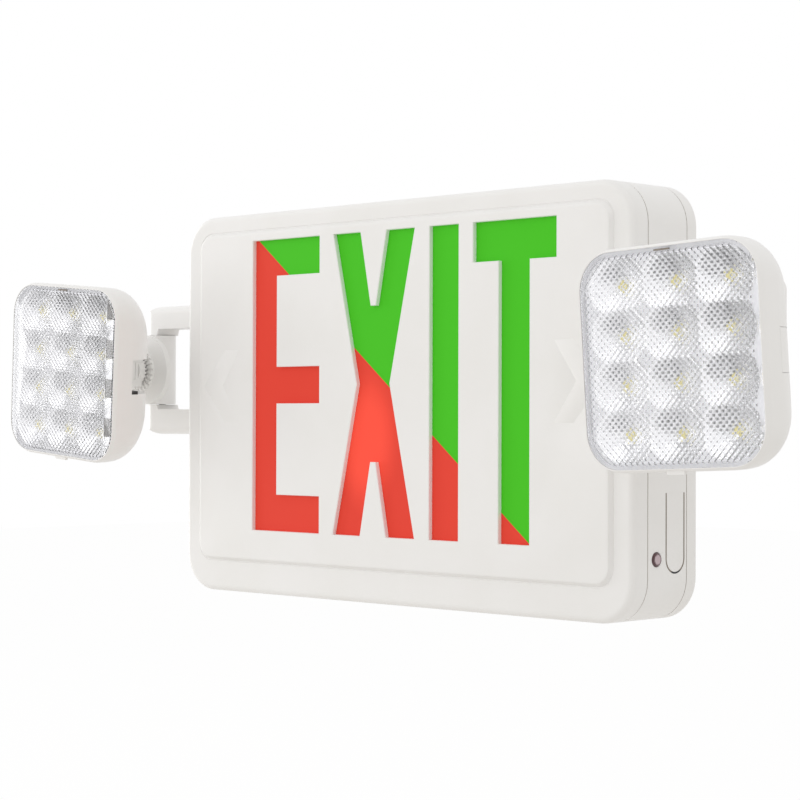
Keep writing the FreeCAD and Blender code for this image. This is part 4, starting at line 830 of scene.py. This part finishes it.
@dataclass
class LampHead:
    """A lamp head in its own frame: casing, clear lens with its prisms, and the bright tray of cups behind it."""

    side: str
    place: Matrix
    lens_half: float = 46.0
    lens_corner: float = 16.5
    lens_front: float = 58.4
    lens_back: float = 55.0
    lens_edge: float = 1.2
    margin: float = 1.3
    prism_pitch: float = 3.1
    prism_height: float = 0.75
    collar_back: float = 53.0
    tray_half: float = 43.3
    tray_corner: float = 13.0
    tray_front: float = 54.8
    tray_back: float = 49.0
    cup_pitch: tuple[float, float] = (27.4, 21.0)
    cup_count: tuple[int, int] = (3, 4)
    cup_root: float = 3.1
    cup_reach: float = 14.2
    cup_depth: float = 5.3
    # Where each cup's painted dark reflection sits above its LED, and how far it reaches.
    reflection_middle: tuple[float, float] = (-2.5, 5.2)
    reflection_reach: tuple[float, float] = (10.5, 7.0)
    half: float = 47.5
    corner: float = 18.5
    back: float = 22.4
    dome: float = 28.0
    pocket_half: float = 9.3
    pocket_shut: float = -7.6
    pocket_floor: float = 46.2
    cavity_floor: float = 47.85
    end_shade_half: tuple[float, float] = (2.7, 5.0)
    end_shade_across: float = 39.8
    end_shade_up: float = 4.2
    neck_start: float = 12.7
    hinge_reach: float = 34.0
    cheek_reach: tuple[float, float] = (7.15, 6.0)
    cheek_half: float = 4.75
    disc_liner: tuple[float, float, float, float] = (6.3, 11.3, 4.0, 4.7)
    hub_liner: tuple[float, float, float, float] = (2.7, 7.8, 5.9, 6.7)
    disc_kept: float = 14.0
    disc_rim: float = 3.6

    def prisms(self, across: np.ndarray, up: np.ndarray) -> np.ndarray:
        """The wave of the prisms: a product of two cosines, which is a grid of round bumps on the diagonal.

        Towards the lens's smooth margin, which is wider on the side that the pocket opens to, it
        rises to the bumps' level of 1.

        Args:
            across: Places across.
            up: Places up.

        Returns:
            The wave, from -1 to 1.
        """
        wave = np.cos(2 * np.pi * across / self.prism_pitch) * np.cos(2 * np.pi * up / self.prism_pitch)
        inner = self.lens_half - self.margin
        corner = self.lens_corner - self.margin
        beyond = np.maximum(np.abs(np.stack([across, up])) - (inner - corner), 0.0)
        edge = np.minimum(corner - np.hypot(*beyond), self.smooth_start() - across)
        return 1.0 - (1.0 - wave) * np.clip(edge / 0.8, 0.0, 1.0)

    def smooth_start(self) -> float:
        """Where the wide smooth margin starts, across: before the bars of painted shade at the cups' ends on the
        left head.
        """
        return self.end_shade_across - self.end_shade_half[0] if self.side == "left" else 43.0

    def in_cup(self, across: np.ndarray, up: np.ndarray) -> list[np.ndarray]:
        """How far points lie from the middle of the cup that they belong to.

        Args:
            across: Places across.
            up: Places up.

        Returns:
            The distances beside and above that middle.
        """
        near = []
        for middle, pitch, count in ((across, self.cup_pitch[0], self.cup_count[0]),
                                     (up, self.cup_pitch[1], self.cup_count[1])):
            shift = (count - 1) / 2 * pitch
            cell = np.clip(np.round((middle + shift) / pitch), 0, count - 1)
            near.append(middle - (cell * pitch - shift))
        return near

    def reflection_patch(self, across: np.ndarray, up: np.ndarray) -> np.ndarray:
        """The painted dark reflection of the patches above the LEDs: 1 in a patch's middle, 0 at its edge, stronger
        to the right.

        Args:
            across: Places across.
            up: Places up.

        Returns:
            The smoke, from 0 to 1.
        """
        beside, above = self.in_cup(across, up)
        patch = 1.0 - np.hypot((beside - self.reflection_middle[0]) / self.reflection_reach[0],
                               (above - self.reflection_middle[1]) / self.reflection_reach[1])
        return np.maximum(patch, 0.0) * np.clip(0.76 + 0.009 * across, 0.0, 1.0)

    def cups(self, across: np.ndarray, up: np.ndarray) -> tuple[np.ndarray, np.ndarray]:
        """How far the tray's face sinks into its cups, and where in its cup a point is.

        Each cup is a paraboloid about its own middle, wider than its share of the tray, so that
        neighbours meet in ridges. A flat root stands round the LED.

        Args:
            across: Places across.
            up: Places up.

        Returns:
            The sink; and in one array the climb, from 0 at the root to 1 at the ridge, and the painted dark
            reflection.
        """
        beside, above = self.in_cup(across, up)
        radius = np.hypot(beside / 1.18, above)
        climb = np.clip((radius - self.cup_root) / (self.cup_reach - self.cup_root), 0.0, 1.0)
        sink = self.cup_depth * (1.0 - np.sqrt(climb) ** 1.6)
        return sink, np.stack([climb, self.reflection_patch(across, up)], axis=-1)

    def edge_rings(self, skin: Skin, slab: Slab, edge: float, reach: float) -> list[np.ndarray]:
        """The rings of a slab's rounded front edge: the border of the slab moved in, along a quarter circle.

        Args:
            skin: The piece that gets the rings.
            slab: The slab.
            edge: The radius of its rounded edge.
            reach: The depth of its front.

        Returns:
            The rings' numbers, from the front to the side.
        """
        rings = []
        for angle in np.linspace(0.0, np.pi / 2, 5):
            over, high = slab.grid(edge * (1 - math.sin(angle)))
            rows = np.stack([over, np.full(over.shape, -(reach - edge * (1 - math.cos(angle)))), high], axis=-1)
            rings.append(skin.ring(skin.border(rows)))
        return rings

    def make_lens(self) -> bpy.types.Object:
        """The clear lens: a flat front, a rounded edge, and prisms on its back.

        Returns:
            The lens.
        """
        skin = Skin()
        slab = Slab(self.lens_half, self.lens_corner, 178, 128, 26)
        rings = self.edge_rings(skin, slab, self.lens_edge, self.lens_front)
        skin.faces.append(tuple(rings[0].tolist()))
        across, up = slab.grid(0.0)
        middle = [0.25 * (axis[:-1, :-1] + axis[:-1, 1:] + axis[1:, 1:] + axis[1:, :-1]) for axis in (across, up)]
        sheets, held = [], [np.full((skin.count, 2), (1.0, 0.0))]
        for over, high in ((across, up), middle):
            wave = self.prisms(over, high)
            reach = self.lens_back + self.prism_height * 0.5 * (1.0 - wave)
            sheets.append(skin.ring(np.stack([over, -reach, high], axis=-1)))
            held.append(np.stack([wave, self.reflection_patch(over, high)], axis=-1).reshape(-1, 2))
        skin.bridge(*rings, skin.sheet(*sheets))
        maps = {"prism": np.concatenate(held)}
        return skin.build(f"{self.side}_prism_lens", Finish.CLEAR, self.place, maps, 60.0)

    def make_tray(self) -> bpy.types.Object:
        """The bright tray: cups sunk into its front, and the map that its finish reads.

        Returns:
            The tray.
        """
        skin = Skin()
        slab = Slab(self.tray_half, self.tray_corner, 150, 120, 16)
        across, up = slab.grid(0.4)
        sink, cup = self.cups(across, up)
        face = skin.ring(np.stack([across, sink - self.tray_front, up], axis=-1))
        rings = [skin.sheet(face)] + self.edge_rings(skin, slab, 0.4, self.tray_front)[1:]
        over, high = slab.grid(0.0)
        rear = skin.ring(np.stack([over, np.full(over.shape, -self.tray_back), high], axis=-1))
        skin.bridge(*rings, skin.sheet(rear))
        held = np.full((skin.count, 2), (1.0, 0.0))
        held[:face.size] = cup.reshape(-1, 2)
        return skin.build(f"{self.side}_cup_tray", Finish.TRAY, self.place, {"cup": held}, 50.0)

    def make_collar(self) -> bpy.types.Object:
        """The pale collar round the tray and the lens's side: closed rings of one L-shaped profile.

        Returns:
            The collar.
        """
        skin = Skin()
        inner, outer, wall = self.tray_half + 0.1, self.lens_half + 0.01, self.lens_half + 0.045
        profile = ((inner, self.collar_back), (inner, self.tray_front), (outer, self.tray_front),
                   (outer, self.lens_front - 0.5), (wall, self.lens_front - 0.5), (wall, self.collar_back))
        rings = [skin.ring(rounded_ring(2 * half, 2 * half, half - self.lens_half + self.lens_corner, depth))
                 for half, depth in profile]
        skin.bridge(*rings, rings[0])
        return skin.build(f"{self.side}_lens_collar", Finish.COLLAR, self.place)

    def casing_ring(self, half: float, depth: float, radius: float, steps: int = 12) -> np.ndarray:
        """A rounded square ring of the casing that has points at the pocket's two sides.

        Where the square's straight side is shorter than the pocket, those points lie on the corner
        arcs, and the arcs' other points share what is left of them.

        Args:
            half: Half the ring's side.
            depth: The ring's depth.
            radius: The radius of the ring's corners.
            steps: Steps in a corner's arc.

        Returns:
            The points, from the pocket's upper side round to its lower side, anticlockwise seen from the front.
        """
        middle = half - radius
        cut = math.asin(max(0.0, (self.pocket_half - middle) / radius))
        arc = np.linspace(cut, np.pi / 2, steps + 2)[1:] if cut > 0 else np.linspace(0.0, np.pi / 2, steps + 1)
        first = np.array([[middle + radius * math.cos(cut), self.pocket_half]])
        upper = np.concatenate([first, np.stack([middle + radius * np.cos(arc), middle + radius * np.sin(arc)], 1)])
        left = np.linspace(0.0, np.pi / 2, steps + 1)[::-1]
        turned = np.stack([-middle - radius * np.cos(left), middle + radius * np.sin(left)], axis=1)
        top = np.concatenate([upper, turned])
        outline = np.concatenate([top, (top * (1.0, -1.0))[::-1]])
        return np.stack([outline[:, 0], np.full(len(outline), -depth), outline[:, 1]], axis=1)

    def dome_profile(self, front: float) -> list[tuple[float, float]]:
        """The casing's back edge along a quarter circle, from its flat back.

        Args:
            front: The depth that it stops before.

        Returns:
            Half-widths and depths.
        """
        turn = [math.radians(angle) for angle in range(90, 0, -6)]
        arc = [(self.half - self.dome * (1 - math.cos(angle)), self.back + self.dome * (1 - math.sin(angle)))
               for angle in turn]
        return [point for point in arc if point[1] < front - 0.3]

    def pocket_edge(self) -> tuple[float, float]:
        """The dome's half-width and depth where the pocket's floor meets it."""
        rise = self.back + self.dome - self.pocket_floor
        return self.half - self.dome + math.sqrt(self.dome ** 2 - rise ** 2), self.pocket_floor

    def make_casing(self) -> bpy.types.Object:
        """The casing with its slanted lip: a domed shell, its pocket open at the back and the right side.

        Returns:
            The casing.
        """
        skin = Skin()
        dome = self.dome_profile(self.pocket_floor) + [self.pocket_edge()]
        sunk = [(half, depth, min(self.corner, half - 0.4)) for half, depth in dome]
        wall = [(self.half - chamfer, depth, self.corner)
                for chamfer, depth in ((0.0, self.back + self.dome), (0.0, 54.0), (0.0, 56.2), (0.12, 56.7))]
        lip = [(self.lens_half + gap, depth, self.lens_corner + gap)
               for gap, depth in ((0.35, 58.25), (0.05, 58.2), (0.05, 57.0), (0.05, self.cavity_floor))]
        rings = [skin.ring(self.casing_ring(*ring)) for ring in sunk + wall + lip]
        for first, second in zip(rings[:len(sunk)], rings[1:len(sunk)]):
            sides = np.stack([first[:-1], first[1:], second[1:], second[:-1]], axis=1)
            skin.faces += [tuple(side) for side in sides.tolist()]
        skin.bridge(*rings[len(sunk) - 1:])
        skin.faces.append(tuple(rings[-1].tolist()))
        corners = [(self.pocket_shut, -depth, up) for depth in (self.back, self.pocket_floor)
                   for up in (self.pocket_half, -self.pocket_half)]
        back_up, back_down, floor_up, floor_down = skin.ring(np.array(corners)).tolist()
        outside = rings[:len(sunk)]
        skin.faces += [(*outside[0].tolist(), back_down, back_up), (back_up, back_down, floor_down, floor_up),
                       (floor_up, floor_down, int(outside[-1][-1]), int(outside[-1][0])),
                       (back_up, floor_up, *[int(ring[0]) for ring in outside[::-1]]),
                       (back_down, floor_down, *[int(ring[-1]) for ring in outside[::-1]])]
        return skin.build(f"{self.side}_domed_casing", Finish.HINGES, self.place, sharp=38.0)

    def make_pocket_cover(self) -> bpy.types.Object:
        """The cover over the pocket's open side: a strip of the dome, a little narrower than the pocket.

        Returns:
            The cover.
        """
        skin = Skin()
        line = np.array([point for point in self.dome_profile(self.pocket_floor) if point[0] > 29.0]
                        + [self.pocket_edge()])
        line[-1, 1] -= 0.15
        level = np.linspace(-1.0, 1.0, 5) * (self.pocket_half - 0.14)
        sheets = []
        for sunk in (0.04, 1.6):
            middle = np.array([self.half - self.dome, self.back + self.dome])
            curve = middle + (line - middle) * ((self.dome - sunk) / self.dome)
            points = np.stack(np.broadcast_arrays(curve[:, None, 0], -curve[:, None, 1], level[None, :]), axis=-1)
            sheets.append(skin.sheet(skin.ring(points)))
        skin.bridge(*sheets)
        return skin.build(f"{self.side}_pocket_cover", Finish.HINGES, self.place)

    def make_tooth_liner(self, name: str, inner: float, outer: float, low: float, high: float) -> bpy.types.Object:
        """A ring that fills the gaps between teeth up to a little under their tips.

        Args:
            name: The end of its name.
            inner: Its inside radius.
            outer: Its outside radius.
            low: The depth of its rear face.
            high: The depth of its front face.

        Returns:
            The ring.
        """
        skin = Skin()
        turn = np.linspace(0.0, 2 * np.pi, 48, endpoint=False)
        rings = [skin.ring(np.stack([radius * np.cos(turn), np.full(48, -reach), radius * np.sin(turn)], axis=1))
                 for radius, reach in ((inner, low), (outer, low), (outer, high), (inner, high))]
        skin.bridge(*rings, rings[0])
        made = skin.build(f"{self.side}_{name}", Finish.HINGES, self.place)
        return made

    def make_cheek(self) -> bpy.types.Object:
        """The sheet that closes the slot between the knuckle's ears on the side the pocket opens to.

        Its profile runs straight along the neck and then round the hinge.

        Returns:
            The sheet.
        """
        skin = Skin()
        straight = np.stack([np.zeros(8), np.linspace(self.neck_start, self.hinge_reach, 8)], axis=1)
        turn = np.linspace(0.0, np.pi / 2, 9)[1:]
        level = np.array([-self.cheek_half, self.cheek_half])
        rings = []
        for reach in self.cheek_reach:
            bend = np.stack([reach * np.cos(turn), self.hinge_reach + reach * np.sin(turn)], axis=1)
            line = np.concatenate([straight + (reach, 0.0), bend])
            points = np.stack(np.broadcast_arrays(line[:, None, 0], -line[:, None, 1], level[None, :]), axis=-1)
            rings.append(skin.sheet(skin.ring(points)))
        skin.bridge(*rings)
        return skin.build(f"{self.side}_knuckle_cheek", Finish.HINGES, self.place)

    def bar(self, name: str, finish: Finish, low: Sequence[float], high: Sequence[float]) -> bpy.types.Object:
        """Makes a plain bar.

        Args:
            name: Its name.
            finish: Its finish.
            low: One corner, across, in depth and up.
            high: The opposite corner.

        Returns:
            The bar.
        """
        skin = Skin()
        rings = [skin.ring(np.array([(low[0], -depth, low[2]), (high[0], -depth, low[2]),
                                     (high[0], -depth, high[2]), (low[0], -depth, high[2])]))
                 for depth in (low[1], high[1])]
        skin.bridge(*rings)
        skin.faces += [tuple(ring.tolist()) for ring in rings]
        return skin.build(name, finish, self.place)

    def make_details(self) -> list[bpy.types.Object]:
        """The lens's clip and tab, and on the left head bars of painted shade at the side of the open pocket: at the
        cups' ends and along the pocket's foot.

        Returns:
            The small pieces.
        """
        # The clip is a real part, coloured the painted shade grey for the shadow gap round it.
        made = [self.bar(f"{self.side}_lens_clip", Finish.SHADE_GREY, (-5.0, 57.6, self.lens_half - 1.6),
                         (3.0, 58.46, self.lens_half - 0.9)),
                self.bar(f"{self.side}_lens_tab", Finish.HINGES, (-5.0, 55.4, -self.half - 1.1),
                         (4.0, 57.2, -self.half + 0.6))]
        if self.side == "left":
            # Dark bars of painted shade at each row of cups' ends, between the tray and the lens.
            wide, high = self.end_shade_half
            for row in range(self.cup_count[1]):
                up = (row - (self.cup_count[1] - 1) / 2) * self.cup_pitch[1] + self.end_shade_up
                made.append(self.bar(f"left_cup_window_{row + 1}", Finish.WINDOW,
                                     (self.end_shade_across - wide, self.tray_front, up - high),
                                     (self.end_shade_across + wide, self.lens_back - 0.02, up + high)))
            # A dark bar of painted shade along the foot of the open pocket.
            made.append(self.bar("left_pocket_foot_shade", Finish.DARK, (20.0, 41.6, -self.pocket_half + 0.02),
                                 (self.half - 0.9, self.pocket_floor - 0.05, -self.pocket_half + 1.7)))
        return made

    def make_slim_disc(self) -> bpy.types.Object:
        """The swivel block with its disc turned down, so that it keeps behind the casing's edge.

        On a merged copy, a point of the disc beyond the kept radius comes in to it along its own
        radius, save for a small share that keeps the rounded look of the rim.

        Returns:
            The block.
        """
        source = bpy.data.objects[f"{self.side}_swivel_block"]
        mesh = source.data.copy()
        mesh.name = f"{self.side}_slim_block"
        work = bmesh.new()
        work.from_mesh(mesh)
        bmesh.ops.remove_doubles(work, verts=work.verts, dist=1e-7)
        back = self.place.inverted()
        for corner in work.verts:
            spot = back @ (source.matrix_world @ corner.co / MM)
            radius = math.hypot(spot.x, spot.z)
            if spot.y < self.disc_rim and radius > self.disc_kept:
                share = (self.disc_kept + 0.08 * (radius - self.disc_kept)) / radius
                spot = Vector((spot.x * share, spot.y, spot.z * share))
            corner.co = self.place @ spot * MM
        work.to_mesh(mesh)
        work.free()
        made = bpy.data.objects.new(mesh.name, mesh)
        bpy.context.scene.collection.objects.link(made)
        return made

    def make(self) -> None:
        """Makes the head's pieces, and hides the plain solids that they stand for."""
        clear, bright = self.make_lens(), self.make_tray()
        casing, collar = self.make_casing(), self.make_collar()
        for piece, node, kind in ((clear, "lens", "clear_lens"), (bright, "reflector", "reflector"),
                                  (casing, "casing", "housing_white")):
            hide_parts(f"{self.side}_{node}")
        details = self.make_details()
        if self.side == "right":
            details.append(self.make_pocket_cover())
            slim = self.make_slim_disc()
            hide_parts("right_swivel_block")
            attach(slim, "right_swivel")
        for piece in (clear, bright, casing, collar, *details):
            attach(piece, f"{self.side}_head")
        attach(self.make_tooth_liner("disc_tooth_liner", *self.disc_liner), f"{self.side}_swivel")
        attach(self.make_tooth_liner("hub_tooth_liner", *self.hub_liner), f"{self.side}_knuckle")
        cheek = self.make_cheek()
        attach(cheek, f"{self.side}_knuckle")


@dataclass
class RightWall:
    """What shows on the housing's right wall and in its parting lines."""

    face: float = 155.0
    button_middle: float = 16.85
    button_half: float = 6.15
    button_root: float = -41.4
    slit: float = 0.9
    play: float = 0.03
    button_length: float = 36.0
    seams: tuple[tuple[str, float, float, float], ...] = (("front", 36.7, 0.22, 0.2), ("rear", 8.1, 0.34, 0.08))

    def band(self, name: str, finish: Finish, inner: np.ndarray, outer: np.ndarray, sunk: float,
             thick: float) -> bpy.types.Object:
        """Makes a bar along a path on the wall, from the lines of its two sides.

        Args:
            name: The piece's name.
            finish: Its finish.
            inner: One side's line, in depth and up.
            outer: The other side's line.
            sunk: How far its top lies under the wall's face.
            thick: Its thickness.

        Returns:
            The piece.
        """
        skin = Skin()
        top, low = self.face - sunk, self.face - sunk - thick
        points = np.stack([np.stack([np.full(len(line), across), -line[:, 0], line[:, 1]], axis=1)
                           for line, across in ((inner, top), (outer, top), (outer, low), (inner, low))], axis=1)
        numbers = skin.ring(points)
        skin.bridge(*list(numbers))
        skin.faces += [tuple(numbers[0].tolist()), tuple(numbers[-1].tolist())]
        made = skin.build(name, finish)
        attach(made, "housing")
        return made

    def make_slit(self) -> None:
        """The shade in the slit round the test button: straight down, round its end and up again."""
        middle = self.button_root - self.button_length + self.button_half
        turn = np.linspace(np.pi, 2 * np.pi, 33)
        lines = []
        for radius in (self.button_half + self.play, self.button_half + self.slit - self.play):
            arc = np.stack([self.button_middle + radius * np.cos(turn), middle + radius * np.sin(turn)], axis=1)
            ends = np.array([[self.button_middle - radius, self.button_root],
                             [self.button_middle + radius, self.button_root]])
            lines.append(np.concatenate([ends[:1], arc, ends[1:]]))
        inner, outer = lines
        self.band("button_slit_front", Finish.SHADE_GREY, inner[:12], outer[:12], 0.10, 0.5)
        self.band("button_slit_deep", Finish.DARK, inner[11:22], outer[11:22], 0.25, 0.5)
        self.band("button_slit_rear", Finish.SHADE_GREY, inner[21:], outer[21:], 0.10, 0.5)

    def make_root(self) -> None:
        """The web that joins the test button to the wall at its root."""
        ends = np.array([self.button_middle - self.button_half, self.button_middle + self.button_half])
        inner, outer = (np.stack([ends, np.full(2, self.button_root + up)], axis=1) for up in (-0.16, 0.01))
        self.band("button_root_web", Finish.SHELL, inner, outer, 0.0, 0.8)

    def make_seams(self) -> None:
        """The painted shade in the two parting lines: a grey ring of small square section at a depth, half its width
        each way.
        """
        for name, depth, half, sunk in self.seams:
            skin = Skin()
            rings = [skin.ring(FrontCover().ring(inset, place)) for inset, place in
                     ((sunk, depth - half), (sunk, depth + half), (0.9, depth + half), (0.9, depth - half))]
            skin.bridge(*rings, rings[0])
            made = skin.build(f"{name}_seam_shade", Finish.SHADE_GREY)
            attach(made, "housing")

    def make(self) -> None:
        """Makes the wall's small pieces."""
        self.make_slit()
        self.make_root()
        self.make_seams()


@dataclass
class Housing:
    """Gives every piece that comes ready-made its finish."""

    plain: Mapping[Finish, Sequence[str]] = field(default_factory=lambda: {
        Finish.HINGES: ("yoke", "swivel_block", "knuckle"),
        Finish.FILM: ("diffuser_panel",),
        Finish.STEEL: ("case_screws", "yoke_screws", "board_screws", "battery_strap", "pivot_pin", "shoulder_screw",
                       "ratchet_spring", "hinge_pin"),
        Finish.IRON: ("transformer",),
        Finish.BOARD: ("main_board", "side_board", "led_strip", "lamp_board"),
        Finish.DARK: ("board_parts", "terminal_block", "test_switch", "test_plunger"),
        Finish.WRAP: ("battery_pack",),
        Finish.CHIP: ("sign_leds", "lamp_leds"),
        Finish.LAMP: ("charge_lamp", "charge_led"),
        Finish.CLEAR: ("lens",),
        Finish.TRAY: ("reflector",),
    })

    def dress(self, nodes: Mapping[str, bpy.types.Object]) -> None:
        """Puts each node's finish on it, by the end of its name.

        Args:
            nodes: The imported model's nodes.
        """
        for name, node in nodes.items():
            held = [finish for finish, endings in self.plain.items() if name.endswith(tuple(endings))]
            node.data.materials.clear()
            node.data.materials.append((held or [Finish.SHELL])[0].material())
            LOG.info("%s dressed", name)


# --------------------------------------------------------------------------- the studio


@dataclass
class Studio:
    """A white studio: floor, soft lamps, even world and the camera."""

    camera_place: tuple[float, float, float] = (0.7524, -0.7983, -0.0091)
    yaw: float = 44.715
    pitch: float = 0.556
    roll: float = 0.168
    lens: float = 96.48
    floor_height: float = -0.42
    floor_reach: float = 6.0
    floor_white: float = 0.97
    ambient: float = 0.82
    lamps: tuple[tuple[str, tuple[float, float, float], float, float, Colour], ...] = (
        ("key", (-0.9, -1.9, 1.3), 1.4, 4.8, WHITE),
        ("side", (1.7, -0.5, 2.4), 1.2, 4.0, (1.0, 0.97, 0.94)),
        ("left_fill", (-2.4, -0.4, 0.2), 1.4, 20.0, WHITE),
    )

    def seen_or_lit(self, tree: bpy.types.NodeTree, seen: bpy.types.NodeSocket,
                    lit: bpy.types.NodeSocket) -> bpy.types.NodeSocket:
        """Mixes two shaders: one for camera, glossy and transmitted rays, the other for the rest.

        Args:
            tree: The node tree.
            seen: The shader that is seen.
            lit: The shader that lights.

        Returns:
            The mixed shader.
        """
        rays = tree.nodes.new("ShaderNodeLightPath")
        total = rays.outputs["Is Camera Ray"]
        for name in ("Is Glossy Ray", "Is Transmission Ray"):
            add = tree.nodes.new("ShaderNodeMath")
            add.operation = "MAXIMUM"
            tree.links.new(total, add.inputs[0])
            tree.links.new(rays.outputs[name], add.inputs[1])
            total = add.outputs[0]
        mix = tree.nodes.new("ShaderNodeMixShader")
        tree.links.new(total, mix.inputs[0])
        tree.links.new(lit, mix.inputs[1])
        tree.links.new(seen, mix.inputs[2])
        return mix.outputs[0]

    def make_world(self) -> None:
        """White where it is seen, softer where it lights."""
        world = bpy.data.worlds.new("studio")
        bpy.context.scene.world = world
        world.use_nodes = True
        tree = world.node_tree
        tree.nodes.clear()
        shades = []
        for colour, strength in ((WHITE, 1.0), ((1.0, 0.995, 0.985), self.ambient)):
            shade = tree.nodes.new("ShaderNodeBackground")
            shade.inputs["Color"].default_value = (*colour, 1.0)
            shade.inputs["Strength"].default_value = strength
            shades.append(shade.outputs[0])
        out = tree.nodes.new("ShaderNodeOutputWorld")
        tree.links.new(self.seen_or_lit(tree, *shades), out.inputs[0])

    def make_floor(self) -> None:
        """A wide pale floor, white where it is seen."""
        mesh = bpy.data.meshes.new("floor")
        corners = [(across * self.floor_reach, out * self.floor_reach, self.floor_height)
                   for across, out in ((-1, -1), (1, -1), (1, 1), (-1, 1))]
        mesh.from_pydata(corners, [], [(0, 1, 2, 3)])
        floor = bpy.data.objects.new("floor", mesh)
        bpy.context.scene.collection.objects.link(floor)
        tree = Tree("floor_white")
        grain = tree.noise(3.0)
        matt = tree.node("ShaderNodeBsdfDiffuse", None,
                         {"Color": tree.mix(grain, (0.82, 0.80, 0.77), (0.84, 0.82, 0.79))})
        glow = tree.node("ShaderNodeEmission", None, {"Color": WHITE, "Strength": 1.0})
        links = tree.material.node_tree
        shown = links.nodes.new("ShaderNodeMixShader")
        shown.inputs[0].default_value = self.floor_white
        links.links.new(matt.socket, shown.inputs[1])
        links.links.new(glow.socket, shown.inputs[2])
        out = links.nodes.new("ShaderNodeOutputMaterial")
        links.links.new(self.seen_or_lit(links, shown.outputs[0], matt.socket), out.inputs[0])
        mesh.materials.append(tree.material)

    def make_lamp(self, name: str, place: Vector, size: float, power: float, colour: Colour) -> None:
        """A square soft lamp that faces the sign's middle.

        Args:
            name: Its name.
            place: Where it stands.
            size: Its side.
            power: Its power.
            colour: Its colour.
        """
        data = bpy.data.lights.new(name, "AREA")
        data.size, data.energy, data.color = size, power, colour
        lamp = bpy.data.objects.new(name, data)
        lamp.location = place
        lamp.rotation_mode = "QUATERNION"
        lamp.rotation_quaternion = (-place).to_track_quat("-Z", "Y")
        bpy.context.scene.collection.objects.link(lamp)

    def make_camera(self) -> None:
        """The camera, with its own turn about its axis first, then its pitch and its yaw."""
        data = bpy.data.cameras.new("camera")
        data.lens, data.sensor_width = self.lens, 36.0
        data.clip_start, data.clip_end = 0.05, 20.0
        camera = bpy.data.objects.new("camera", data)
        yaw = Matrix.Rotation(math.radians(self.yaw), 4, "Z")
        pitch = Matrix.Rotation(math.radians(90.0 + self.pitch), 4, "X")
        roll = Matrix.Rotation(math.radians(self.roll), 4, "Z")
        camera.matrix_world = Matrix.Translation(self.camera_place) @ yaw @ pitch @ roll
        bpy.context.scene.collection.objects.link(camera)
        bpy.context.scene.camera = camera

    def make(self) -> None:
        """Sets up the view, world, floor, lamps and camera."""
        bpy.context.scene.view_settings.view_transform = "Standard"
        self.make_world()
        self.make_floor()
        for name, place, size, power, colour in self.lamps:
            self.make_lamp(name, Vector(place), size, power, colour)
        self.make_camera()


def head_place(joints: Sequence[Mapping[str, Any]], side: str) -> Matrix:
    """A lamp head's own frame, from its joints.

    Args:
        joints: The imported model's joints.
        side: "left" or "right".

    Returns:
        The frame in millimetres: its Y is the roll axis, its Z the tilt axis.
    """
    named = {joint["name"]: joint for joint in joints}
    roll, tilt = named[f"{side}_head_roll"], named[f"{side}_head_tilt"]
    back, up = Vector(roll["axis"]).normalized(), Vector(tilt["axis"]).normalized()
    place = Matrix((back.cross(up), back, up)).transposed().to_4x4()
    place.translation = Vector(roll["pos_m"]) / MM
    return place


def main() -> None:
    """Builds the light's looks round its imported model."""
    logging.basicConfig(level=logging.INFO, format="%(name)s %(message)s")
    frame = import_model()
    Studio().make()
    Housing().dress(frame["nodes"])
    FrontCover().make()
    for side in ("left", "right"):
        LampHead(side, head_place(frame["joints"], side)).make()
    RightWall().make()


if __name__ == "__main__":
    main()
